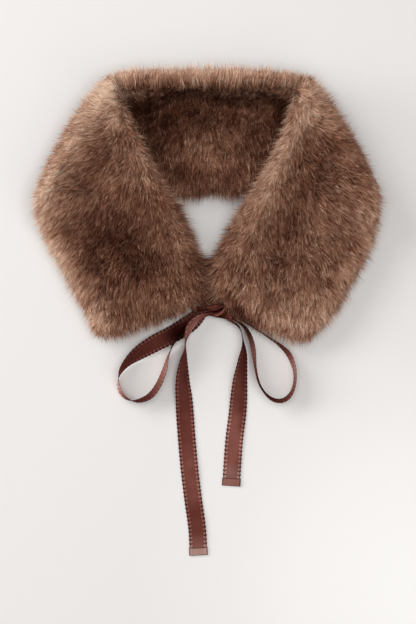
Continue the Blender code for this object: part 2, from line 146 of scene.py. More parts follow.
LOOP_RIGHT = (
    (29.6, -9.8, 11.0, 80.0, 10.0),
    (35.0, -12.9, 11.0, 80.0, 15.0),
    (41.0, -18.8, 11.0, 79.0, 19.0),
    (46.2, -29.0, 10.8, 75.0, 20.0),
    (49.6, -43.0, 10.8, 75.0, 20.0),
    (51.8, -62.0, 10.9, 82.0, 20.0),
    (55.5, -78.0, 11.0, 84.0, 20.0),
    (62.0, -89.5, 11.0, 84.0, 20.0),
    (70.5, -96.8, 10.9, 80.0, 20.0),
    (80.0, -98.5, 10.8, 78.0, 20.0),
    (88.5, -94.0, 10.9, 79.0, 20.0),
    (94.0, -83.5, 10.9, 82.0, 20.0),
    (95.5, -70.0, 10.9, 82.0, 20.0),
    (93.5, -58.5, 10.8, 78.0, 20.0),
    (88.0, -46.5, 10.8, 75.0, 20.0),
    (78.5, -37.0, 10.9, 80.0, 19.0),
    (66.0, -28.4, 9.6, 85.0, 16.0),
    (52.5, -19.8, 8.2, 88.0, 12.5),
    (40.5, -12.2, 7.8, 88.0, 10.0),
    (31.8, -7.6, 8.4, 88.0, 8.0),
)
TAIL_LEFT = (
    (-3.6, -4.0, 12.4, 58.0, 8.0),
    (-8.4, -6.0, 15.2, 61.0, 12.0),
    (-13.2, -8.9, 17.2, 62.0, 16.0),
    (-17.6, -13.2, 17.8, 63.0, 19.0),
    (-20.6, -18.2, 17.4, 66.0, 20.0),
    (-22.8, -24.6, 16.2, 74.0, 20.0),
    (-24.6, -31.6, 14.6, 84.0, 20.0),
    (-25.8, -39.5, 12.6, 88.0, 20.0),
    (-27.2, -50.0, 10.6, 72.0, 20.0),
    (-28.4, -64.0, 8.5, 53.0, 20.0),
    (-28.5, -80.0, 6.6, 36.0, 20.0),
    (-27.0, -97.5, 4.0, 19.0, 20.0),
    (-26.0, -114.0, 1.7, 4.0, 20.0),
    (-24.0, -141.5, 1.3, 1.6, 20.0),
    (-21.0, -174.5, 1.7, -1.8, 20.0),
    (-17.0, -207.5, 1.3, 1.4, 20.0),
    (-12.5, -240.5, 1.6, -1.6, 20.0),
    (-11.0, -269.6, 1.3, 1.2, 20.0),
)
TAIL_RIGHT = (
    (27.0, -11.8, 9.6, 80.0, 9.0),
    (32.0, -15.4, 10.6, 84.0, 14.0),
    (35.6, -20.8, 11.0, 88.0, 19.0),
    (37.6, -28.4, 11.0, 88.0, 20.0),
    (38.5, -37.5, 10.8, 80.0, 20.0),
    (38.2, -48.0, 9.8, 64.0, 20.0),
    (36.6, -62.0, 8.2, 50.0, 20.0),
    (35.0, -74.5, 6.5, 37.0, 20.0),
    (33.5, -95.0, 3.9, 18.0, 20.0),
    (32.0, -114.0, 1.7, 4.0, 20.0),
    (28.5, -141.5, 1.4, -1.6, 20.0),
    (26.5, -169.0, 1.7, 1.8, 20.0),
    (25.0, -193.0, 1.3, -1.2, 20.0),
)

# ---- how the pile is combed: x, y, heading in degrees, how far it stands up ----
COMB_COLUMNS = ("x", "y", "heading", "stand")
COMB = {
    "left": (
        (-111, 257, 108, 22), (-124, 246, 140, 22), (-135, 230, 160, 22), (-146, 213, 180, 22), (-157, 191, 198, 22),
        (-167, 167, 206, 22), (-177, 142, 210, 22), (-184, 118, 216, 22), (-189, 98, 224, 22), (-182, 72, 228, 20),
        (-170, 48, 234, 20), (-157, 21, 242, 20), (-144, -5, 252, 20), (-128, -29, 262, 20), (-111, -26, 268, 20),
        (-89, -14, 268, 20), (-67, -3, 268, 20), (-45, 8, 272, 20), (-23, 16, 276, 20), (-6, 24, 282, 20),
        (-106, 238, 200, 30), (-97, 224, 235, 45), (-122, 219, 190, 28), (-135, 194, 205, 28), (-146, 167, 212, 28),
        (-155, 139, 216, 28), (-163, 112, 222, 28), (-157, 79, 230, 28), (-144, 46, 240, 28), (-128, 7, 256, 25),
        (-103, 178, 222, 35), (-106, 147, 224, 32), (-117, 123, 228, 34), (-128, 92, 234, 38), (-115, 73, 240, 48),
        (-97, 68, 246, 46), (-97, 95, 240, 40), (-106, 40, 248, 34), (-100, 7, 264, 26), (-86, 194, 262, 40),
        (-82, 156, 262, 32), (-84, 123, 248, 34), (-73, 84, 252, 38), (-80, 46, 252, 32), (-64, 24, 264, 26),
        (-48, 54, 280, 30), (-40, 29, 274, 26), (-75, 180, 287, 30), (-64, 156, 293, 28), (-53, 130, 297, 28),
        (-41, 105, 299, 28), (-28, 79, 300, 28), (-19, 57, 298, 28), (-12, 37, 290, 24), (-79, 200, 330, 30),
        (-64, 171, 326, 26), (-49, 142, 323, 26), (-32, 114, 322, 26), (-20, 90, 328, 26), (-7, 61, 335, 26),
        (-2, 40, 318, 26),
    ),
    "right": (
        (98, 263, 92, 22), (111, 257, 70, 22), (122, 244, 45, 22), (130, 228, 22, 22), (139, 211, 356, 22),
        (150, 192, 342, 22), (161, 172, 336, 22), (172, 150, 330, 22), (182, 126, 325, 22), (188, 108, 318, 22),
        (182, 85, 308, 20), (173, 60, 302, 20), (162, 36, 296, 20), (149, 12, 290, 20), (136, -10, 284, 20),
        (120, -29, 274, 20), (105, -29, 268, 20), (90, -21, 266, 20), (70, -13, 266, 20), (51, -4, 264, 20),
        (35, 5, 260, 20), (21, 14, 256, 20), (8, 23, 250, 20), (102, 238, 268, 30), (96, 219, 254, 28),
        (90, 205, 249, 28), (81, 185, 246, 28), (70, 161, 244, 28), (59, 134, 244, 28), (48, 106, 243, 28),
        (37, 79, 244, 28), (26, 54, 246, 28), (15, 35, 248, 26), (79, 208, 200, 28), (67, 180, 206, 26),
        (54, 155, 209, 26), (43, 131, 212, 26), (32, 109, 215, 26), (19, 84, 215, 26), (7, 60, 210, 26),
        (114, 219, 300, 30), (118, 194, 315, 32), (125, 175, 320, 36), (138, 158, 328, 32), (145, 134, 328, 28),
        (139, 109, 322, 30), (131, 81, 312, 30), (156, 106, 322, 26), (151, 79, 312, 26), (142, 51, 304, 26),
        (120, 54, 304, 30), (125, 21, 288, 26), (107, 29, 282, 28), (101, 4, 272, 24), (101, 169, 270, 34),
        (92, 141, 274, 36), (85, 116, 278, 38), (79, 92, 284, 40), (70, 70, 292, 34), (62, 51, 286, 30),
        (57, 26, 276, 26), (81, 21, 262, 28), (87, 43, 248, 30), (68, 7, 268, 24),
    ),
    "back": (
        (-106, 257, 112, 22), (-86, 263, 100, 22), (-59, 266, 94, 22), (-31, 268, 90, 22), (-4, 270, 90, 22),
        (29, 268, 88, 22), (62, 266, 84, 22), (90, 261, 76, 22), (-91, 241, 105, 30), (-64, 244, 95, 30),
        (-37, 249, 92, 30), (-4, 250, 90, 30), (29, 248, 88, 30), (59, 246, 86, 30), (85, 244, 80, 30),
        (-78, 226, 100, 44), (-48, 232, 90, 44), (-26, 240, 90, 44), (-4, 236, 90, 44), (29, 234, 90, 44),
        (59, 230, 88, 44), (79, 228, 84, 44), (-75, 204, 268, 44), (-53, 208, 266, 42), (-26, 214, 268, 42),
        (-4, 214, 270, 42), (29, 212, 272, 42), (59, 208, 274, 42), (-48, 189, 264, 38), (-26, 189, 266, 34),
        (2, 191, 270, 30), (29, 189, 274, 36), (51, 186, 280, 40), (-34, 169, 262, 30), (-15, 169, 266, 26),
        (4, 169, 270, 24), (24, 169, 276, 28), (41, 167, 288, 34), (-34, 149, 258, 30), (-15, 145, 266, 28),
        (2, 145, 270, 28), (21, 147, 278, 28), (37, 147, 286, 30), (-29, 129, 260, 24), (-4, 126, 270, 24),
        (21, 127, 276, 24), (40, 129, 284, 24),
    ),
}
# ---- lighter and darker hair, largely painted light and shade (lighter where light falls on the left and top edges and the rim, darker in the gully under the rim, in creases and beside the ribbons), the rest the hair's own tone: an oval x, y, half length, half width, turn, change
TONE_COLUMNS = ("x", "y", "long", "wide", "turn", "change")
# the back's base is darker, partly as painted shade on its inner face
TONE_BASE = {"left": 0.44, "right": 0.44, "back": 0.30}
TONE_AND_PAINTED_LIGHT = {
    "left": (
        (-126, 242, 40, 26, 130, 0.40),
        (-166, 160, 70, 18, 57, 0.36),
        (-172, 50, 66, 18, 118, 0.44),
        (-122, -18, 34, 14, 0, 0.28),
        (-112, 82, 46, 34, 60, -0.22),
        (-118, 165, 34, 16, 45, -0.04),
        (-92, 226, 18, 10, 80, -0.06),
        (-66, 150, 50, 12, 115, 0.10),
        (-78, 40, 34, 20, 20, -0.18),
        (-60, -8, 60, 12, 20, -0.08),
        (-8, 36, 16, 30, 0, -0.16),
        (-110, 246, 18, 15, 0, 0.33),
        (-104, 200, 12, 8, 0, 0.10),
        (-84, 214, 10, 12, 0, -0.04),
        (-37, 106, 14, 12, 0, -0.10),
        (-64, 0, 16, 10, 0, -0.08),
        (-143, 211, 20, 12, 50, 0.11),
        (-165, 161, 18, 12, 110, -0.05),
        (-182, 112, 28, 12, 84, 0.15),
        (-161, 56, 20, 10, 118, 0.05),
        (-97, -20, 14, 10, 0, -0.13),
        (-130, 167, 14, 12, 0, -0.07),
        (-63, 106, 18, 22, 0, -0.15),
        (-76, 40, 18, 16, 0, -0.06),
    ),
    "right": (
        (112, 244, 34, 24, 60, 0.32),
        (70, 150, 82, 16, 64, 0.28),
        (140, 205, 26, 16, 125, 0.14),
        (128, 160, 40, 18, 60, -0.16),
        (84, 86, 44, 18, 66, -0.10),
        (183, 112, 38, 14, 80, 0.26),
        (164, 50, 40, 14, 62, 0.20),
        (118, -12, 50, 20, 10, 0.26),
        (50, 10, 30, 16, -20, 0.12),
        (15, 36, 12, 26, 0, -0.12),
        (169, 145, 20, 14, 120, -0.08),
        (161, 62, 20, 12, 60, -0.09),
        (34, 98, 20, 10, 62, -0.09),
        (42, 72, 14, 12, 0, -0.06),
        (139, 205, 16, 12, 120, 0.09),
        (105, 203, 12, 14, 0, 0.14),
        (106, 238, 14, 12, 0, -0.10),
        (44, -12, 24, 6, -32, -0.28),
        (90, 90, 14, 14, 0, -0.07),
        (90, 213, 8, 12, 0, -0.08),
        (181, 116, 16, 12, 100, -0.11),
        (31, 1, 19, 5, -42, -0.30),
        (160, 62, 16, 12, 60, -0.07),
    ),
    "back": (
        (0, 270, 140, 12, 0, 0.56),
        (57, 255, 16, 8, 0, 0.08),
        (-4, 263, 30, 6, 0, 0.07),
        (68, 228, 16, 10, 0, 0.07),
        (0, 256, 90, 5, 0, 0.06),
        (24, 248, 60, 5, 0, 0.14),
        (-74, 241, 32, 8, 8, 0.30),
        (-36, 249, 18, 5, 0, 0.14),
        (34, 241, 40, 7, 0, 0.28),
        (82, 240, 18, 7, -8, 0.16),
        (84, 222, 14, 22, 0, -0.16),
        (-26, 226, 52, 9, 0, -0.12),
        (-46, 198, 34, 20, 0, -0.09),
        (0, 142, 42, 12, 0, -0.06),
        (-82, 220, 20, 12, 0, -0.26),
        (-42, 200, 18, 16, 0, -0.10),
        (-26, 146, 16, 14, 0, -0.06),
        (-96, 256, 20, 20, 0, 0.26),
        (94, 254, 20, 20, 0, 0.22),
        (-72, 214, 26, 16, 0, -0.16),
        (78, 222, 18, 18, 0, -0.08),
        (-14, 226, 46, 9, 0, -0.05),
        (0, 178, 30, 26, 0, 0.16),
        (36, 148, 22, 16, 0, 0.06),
    ),
}
# ---- how much farther the outermost hair hangs over an edge: the same ovals, change in mm
HANG = {
    "left": (
        (-60, -14, 78, 22, 20, 6.0),
        (-27, 98, 50, 16, 118, 7.0),
        (0, 32, 36, 10, 90, 9.0),
        (-13, 7, 13, 7, -20, -0.5),
        (0, 8, 9, 7, 0, 2.0),
        (-106, 262, 20, 14, 20, -3.2),
        (-24, 119, 9, 9, 0, 5.0),
        (-154, 28, 16, 10, 120, 4.0),
        (-120, -32, 14, 9, 0, -4.5),
    ),
    "right": (
        (60, -20, 64, 24, -24, 7.5),
        (30, 100, 50, 16, 60, 6.0),
        (0, 32, 36, 10, 90, 9.0),
        (15, 6, 10, 9, -50, -6.0),
        (36, -8, 12, 7, -30, 1.0),
        (148, 6, 22, 14, 62, 4.0),
        (172, 166, 72, 16, 114, -2.3),
        (98, 264, 16, 12, 0, -4.0),
        (122, -30, 12, 9, 0, -4.0),
    ),
    "back": (
        (-50, 129, 90, 14, 0, 4.6),
        (70, 129, 60, 14, 0, 0.6),
        (0, 270, 130, 12, 0, -2.4),
        (2, 270, 26, 12, 0, 1.2),
        (-74, 268, 34, 12, 0, -3.0),
        (86, 264, 22, 14, 0, -6.0),
        (52, 270, 20, 12, 0, -2.2),
        (-22, 129, 12, 14, 0, 4.0),
        (27, 129, 10, 14, 0, 4.0),
    ),
}
FRINGE = -5.6                 # where most hair ends at an edge, mm past the outline
FRINGE_SPREAD = 2.7


# ---- the same shape functions as the solids', for whole arrays -----------------
def ease(lo, hi, t):
    t = np.clip((t - lo) / (hi - lo), 0.0, 1.0)
    return t * t * (3.0 - 2.0 * t)


def round_in(e, run):
    e = np.clip(e, 0.0, run)
    return np.sqrt(np.maximum(0.0, 1.0 - (1.0 - e / run) ** 2))


def along(rows, t, keys):
    """The rows at t, on a smooth curve through them. t may be any array."""
    rows, keys, t = np.asarray(rows, float), np.asarray(keys, float), np.asarray(t, float)
    n = len(rows)
    k = np.clip(np.searchsorted(keys, t, side="left") - 1, 0, n - 2)
    slope = np.empty_like(rows)
    slope[0] = (rows[1] - rows[0]) / (keys[1] - keys[0])
    slope[-1] = (rows[-1] - rows[-2]) / (keys[-1] - keys[-2])
    slope[1:-1] = (rows[2:] - rows[:-2]) / (keys[2:] - keys[:-2])[:, None]
    h = keys[k + 1] - keys[k]
    f = np.clip((t - keys[k]) / h, 0.0, 1.0)[..., None]
    h = h[..., None]
    f2, f3 = f * f, f * f * f
    return ((2 * f3 - 3 * f2 + 1) * rows[k] + (f3 - 2 * f2 + f) * slope[k] * h
            + (3 * f2 - 2 * f3) * rows[k + 1] + (f3 - f2) * slope[k + 1] * h)


def keys_of(points):
    points = np.asarray(points, float)
    run = np.concatenate([[0.0], np.cumsum(np.linalg.norm(np.diff(points, axis=0), axis=1))])
    return run / run[-1], float(run[-1])


class Stretch:
    def __init__(self, rows, side, bow):
        rows = np.asarray(rows, float)
        self.rows = np.stack([rows[:, 0] * side, rows[:, 1], rows[:, 2] * side, rows[:, 3], rows[:, 4] * bow], 1)
        self.keys, self.length = keys_of((self.rows[:, 0:2] + self.rows[:, 2:4]) / 2)

    def place(self, u, v):
        a, b = 2 * u - 1, 2 * v - 1
        a0 = a
        a = a * (1 - (CORNER / 70.0) * np.abs(b) ** 8)
        b = b * (1 - (CORNER / (self.length / 2)) * np.abs(a0) ** 6)
        u, v = (a + 1) / 2, (b + 1) / 2
        x0, y0, x1, y1, bow = np.moveaxis(along(self.rows, v, self.keys), -1, 0)
        dx, dy = x1 - x0, y1 - y0
        d = np.hypot(dx, dy)
        out = bow * 4 * u * (1 - u)
        return x0 + dx * u + dy / d * out, y0 + dy * u - dx / d * out

    def width(self, v):
        x0, y0, x1, y1, _ = np.moveaxis(along(self.rows, v, self.keys), -1, 0)
        return np.hypot(x1 - x0, y1 - y0)


BACK = Stretch(BACK_SECTIONS, 1.0, 1.0)
FRONT = {"left": Stretch(FRONT_SECTIONS["left"], -1.0, 1.0),
         "right": Stretch(FRONT_SECTIONS["right"], 1.0, -1.0)}


def rim(x, y):
    first, last = RIM_SECTIONS[0][0], RIM_SECTIONS[-1][0]
    row = along(RIM_SECTIONS, np.clip(x, first, last), [r[0] for r in RIM_SECTIONS])
    lift = np.where((x > first) & (x < last), np.maximum(0.0, row[..., 1]), 0.0)
    run = row[..., 2]
    t = np.clip((NECK_EDGE_Y - y - RIM_TOP) / run, 0.0, 1.0)
    return lift * (1 - t * t * (3 - 2 * t))


def crest(x, y):
    open_half = 99.0 - 0.46 * (NECK_EDGE_Y - y)
    t = np.clip((np.abs(x) - 0.2 * open_half) / (0.8 * open_half), 0.0, 1.0)
    return (CREST * (1 - t * t * (3 - 2 * t))
            * ease(130.0, 165.0, y) * (1 - ease(180.0, 222.0, y)))


def on_back(y):
    return ease(LOWER_EDGE_Y - DRAPE, LOWER_EDGE_Y - 5.0, y)


def bed(x, y):
    loose = NAPE_LOOSE * (1 - ease(118.0, 158.0, np.abs(x))) * (1 - ease(44.0, 72.0, NECK_EDGE_Y - y))
    return on_back(y) * (2 * PANEL + 0.5 + rim(x, y) + loose)


def relief(side, x, y):
    total = np.zeros_like(x)
    for row_side, x0, y0, x1, y1, rise, spread in RELIEF:
        if row_side != side:
            continue
        dx, dy = x1 - x0, y1 - y0
        t = np.clip(((x - x0) * dx + (y - y0) * dy) / (dx * dx + dy * dy), 0.0, 1.0)
        d = np.hypot(x - x0 - t * dx, y - y0 - t * dy)
        total = total + rise * np.exp(-(d / spread) ** 2)
    return total


def back_layers(u, v):
    """Plan place and the heights of the back stretch."""
    x, y = BACK.place(u, v)
    w = BACK.width(v)
    edge = round_in(u * w, EDGE_ROUND) * round_in((1 - u) * w, EDGE_ROUND)
    foot = round_in(u * w, FOOT_ROUND) * round_in((1 - u) * w, FOOT_ROUND)
    from_fold = np.minimum(v, 1 - v) * BACK.length
    turn = round_in(from_fold, FOLD_ROUND)
    plane = 2 * PANEL + rim(x, y)
    mid = plane - PANEL * turn
    inner_turn = round_in(np.maximum(from_fold, 0.0), FOLD_ROUND)
    return dict(x=x, y=y, mid=mid, edge=edge, foot=foot, turn=turn, from_fold=from_fold,
                bottom=mid - BLUNT - (PANEL - BLUNT) * turn * foot,
                top=mid + SEAM / 2 + (plane - PANEL + BLUNT - SEAM + (PANEL - BLUNT + crest(x, y)) * edge
                                      - (plane - PANEL)) * inner_turn)


def front_layers(side, u, v):
    """Plan place and the heights of a front."""
    stretch = FRONT[side]
    x, y = stretch.place(u, v)
    w = stretch.width(v)
    from_end = (1 - v) * stretch.length
    edges = round_in(u * w, EDGE_ROUND) * round_in((1 - u) * w, EDGE_ROUND) * round_in(from_end, EDGE_ROUND)
    feet = round_in(u * w, FOOT_ROUND) * round_in((1 - u) * w, FOOT_ROUND) * round_in(from_end, FOOT_ROUND)
    from_fold = v * stretch.length
    turn = round_in(from_fold, FOLD_ROUND)
    base = bed(x, y)
    half = PANEL + 1.0 + TABLE_SWELL / 2 * (1 - on_back(y))
    mid = base + half * turn
    return dict(x=x, y=y, mid=mid, edge=edges, foot=feet, turn=turn, from_fold=from_fold,
                top=mid + BLUNT + SEAM / 2 + (half - BLUNT + relief(side, x, y)) * turn * edges,
                bottom=mid - BLUNT - (mid - base - BLUNT) * feet)


# ---- smooth noise, the same each run --------------------------------------------
def waves(seed, scale, octaves=3):
    """A smooth function of a point, about -1 to 1."""
    rng = np.random.default_rng(seed)
    parts = []
    for octave in range(octaves):
        for _ in range(7):
            d = rng.normal(size=3)
            d /= np.linalg.norm(d)
            parts.append((d * 2 * math.pi / (scale / 1.9 ** octave) * rng.uniform(0.7, 1.3),
                          rng.uniform(0, 2 * math.pi), 0.62 ** octave))
    total = math.sqrt(sum(p[2] ** 2 for p in parts)) * 0.95

    def value(p):
        out = np.zeros(len(p))
        for k, phase, weight in parts:
            out += weight * np.sin(p @ k + phase)
        return out / total

    return value


# ---- surfaces that the pile reaches ---------------------------------------------
def spaced(length, first, last):
    """Places along a length in mm: close together at a rounded start and end."""
    near = np.array([0.0, 0.12, 0.5, 1.1, 2.0, 3.1, 4.5, 6.3, 8.6, 11.4, 14.8, 18.0])
    lo, hi = near * (first / 18.0), near * (last / 18.0)
    middle = np.linspace(lo[-1], length - hi[-1], max(2, int((length - lo[-1] - hi[-1]) / 4.0)) + 1)[1:-1]
    return np.concatenate([lo, middle, (length - hi)[::-1]]) / length


class Surface:
    """A grid of points of a form, with its normals, from which hair tips are taken."""

    def __init__(self, layers, key, us, vs, up):
        u, v = np.meshgrid(us, vs)
        found = layers(u, v)
        self.p = np.stack([found["x"], found["y"], found[key]], -1)
        du = np.gradient(self.p, us, axis=1)
        dv = np.gradient(self.p, vs, axis=0)
        n = np.cross(du, dv)
        flip = np.sign(np.sum(n[..., 2])) * (1 if up else -1)
        n = n * flip
        self.n = n / np.maximum(np.linalg.norm(n, axis=-1, keepdims=True), 1e-12)
        self.fold = found["from_fold"]
        self.mid = found["mid"]
        p = self.p
        diag1, diag2 = p[1:, 1:] - p[:-1, :-1], p[1:, :-1] - p[:-1, 1:]
        self.area = 0.5 * np.linalg.norm(np.cross(diag1, diag2), axis=-1)

    def sample(self, count, weight, rng):
        """About count points spread evenly, thinned by weight(x, y, z)."""
        middle = (self.p[1:, 1:] + self.p[:-1, :-1] + self.p[1:, :-1] + self.p[:-1, 1:]) / 4
        normal = self.n[:-1, :-1] + self.n[1:, 1:]
        share = self.area * weight(middle.reshape(-1, 3), normal.reshape(-1, 3)).reshape(self.area.shape)
        want = share / share.sum() * count
        whole = np.floor(want + rng.random(want.shape)).astype(int)
        i, j = np.nonzero(whole > 0)
        times = whole[i, j]
        i, j = np.repeat(i, times), np.repeat(j, times)
        s, t = rng.random(len(i))[:, None], rng.random(len(i))[:, None]

        def mix(a):
            a = a[..., None] if a.ndim == 2 else a
            return ((1 - s) * (1 - t) * a[i, j] + s * (1 - t) * a[i, j + 1]
                    + (1 - s) * t * a[i + 1, j] + s * t * a[i + 1, j + 1])

        p, n = mix(self.p), mix(self.n)
        n /= np.maximum(np.linalg.norm(n, axis=1, keepdims=True), 1e-9)
        return p, n, mix(self.mid)[:, 0], mix(self.fold)[:, 0]


def comb(rows, p, reach=17.0):
    """Heading (a unit vector in plan) and stand of the pile at each point."""
    rows = np.asarray(rows, float)
    heading = np.radians(rows[:, 2])
    unit = np.stack([np.cos(heading), np.sin(heading)], 1)
    out, stand = np.empty((len(p), 2)), np.empty(len(p))
    for k in range(0, len(p), 40000):
        q = p[k:k + 40000, :2]
        d2 = ((q[:, None, :] - rows[None, :, :2]) ** 2).sum(-1)
        w = np.exp(-d2 / (2 * reach ** 2)) + 4.0 / (d2 + 900.0) ** 1.5
        w /= w.sum(1, keepdims=True)
        out[k:k + 40000] = w @ unit
        stand[k:k + 40000] = w @ rows[:, 3]
    out /= np.maximum(np.linalg.norm(out, axis=1, keepdims=True), 1e-6)
    return out, stand


def tone_at(base, rows, p):
    """Lightness of the hair at each point, 0 to 1: a base and ovals, which carry painted light and shade."""
    total = np.full(len(p), base)
    for x, y, long, wide, turn, change in rows:
        c, s = math.cos(math.radians(turn)), math.sin(math.radians(turn))
        dx, dy = p[:, 0] - x, p[:, 1] - y
        a, b = (dx * c + dy * s) / long, (-dx * s + dy * c) / wide
        total += change * np.exp(-(a * a + b * b))
    return total


def unit(a):
    return a / np.maximum(np.linalg.norm(a, axis=1, keepdims=True), 1e-9)


# ---- hair -----------------------------------------------------------------------
def outline_of(layers, us, vs):
    """The plan outline of a stretch, a closed run of points."""
    one = np.ones
    u = np.concatenate([us, us[-1] * one(len(vs)), us[::-1], us[0] * one(len(vs))])
    v = np.concatenate([vs[0] * one(len(us)), vs, vs[-1] * one(len(us)), vs[::-1]])
    found = layers(u, v)
    return np.stack([found["x"], found["y"]], 1)


def inside(outline, p):
    """Whether each point lies within the outline in plan."""
    odd = np.zeros(len(p), bool)
    for (x0, y0), (x1, y1) in zip(outline, np.roll(outline, -1, axis=0)):
        if abs(y1 - y0) > 1e-9:
            odd ^= ((y0 > p[:, 1]) != (y1 > p[:, 1])) & (p[:, 0] < x0 + (p[:, 1] - y0) * (x1 - x0) / (y1 - y0))
    return odd


def hair_set(points, side, half_widths, tone, map_wide=0.0010):
    """Flat tapering hairs as points, triangles and map places. points: hairs x stations x 3, root to tip."""
    count, stations = points.shape[:2]
    verts = []
    for k in range(stations - 1):
        w = half_widths[:, k, None]
        verts += [points[:, k] - side * w, points[:, k] + side * w]
    verts.append(points[:, -1])
    per = len(verts)
    verts = np.stack(verts, 1).reshape(-1, 3)
    tris = []
    for k in range(stations - 2):
        a, b, c, d = 2 * k, 2 * k + 1, 2 * k + 3, 2 * k + 2
        tris += [(a, b, c), (a, c, d)]
    tris.append((2 * stations - 4, 2 * stations - 3, per - 1))
    faces = (np.arange(count)[:, None, None] * per + np.array(tris)[None]).reshape(-1, 3)
    # the map: across is how light the hair is, up is root to tip
    along_v = np.linspace(0.01, 0.99, stations)
    v = np.concatenate([np.repeat(along_v[:-1], 2), along_v[-1:]])
    u_off = np.concatenate([np.tile([-map_wide, map_wide], stations - 1), [0.0]])
    u = np.clip(tone, 0.01, 0.99)[:, None] + u_off[None]
    uv = np.stack([u, np.broadcast_to(v, u.shape)], -1).reshape(-1, 2)
    return verts, faces, uv


def hair_mesh(name, sets, material):
    offsets = np.cumsum([0] + [len(s[0]) for s in sets[:-1]])
    verts = np.concatenate([s[0] for s in sets])
    faces = np.concatenate([s[1] + k for s, k in zip(sets, offsets)])
    uv = np.concatenate([s[2] for s in sets])
    mesh = bpy.data.meshes.new(name)
    mesh.vertices.add(len(verts))
    mesh.vertices.foreach_set("co", (verts * MM).astype(np.float32).ravel())
    mesh.loops.add(len(faces) * 3)
    mesh.loops.foreach_set("vertex_index", faces.astype(np.int32).ravel())
    mesh.polygons.add(len(faces))
    mesh.polygons.foreach_set("loop_start", np.arange(0, len(faces) * 3, 3, dtype=np.int32))
    mesh.update(calc_edges=True)
    layer = mesh.uv_layers.new(name="OFBake")
    layer.uv.foreach_set("vector", uv[faces.ravel()].astype(np.float32).ravel())
    mesh.materials.append(material)
    obj = bpy.data.objects.new(name, mesh)
    bpy.context.scene.collection.objects.link(obj)
    return obj


# kinds of hair: count, hairs to a lock, stations, half width, spread of roots and of tips, how far past the
# surface the tip ends (middle and spread), how much it is drawn to the outline, and its change of tone
KIND_COLUMNS = ("count", "per_lock", "stations", "half", "root", "tip", "past", "past_spread", "edge", "tone")


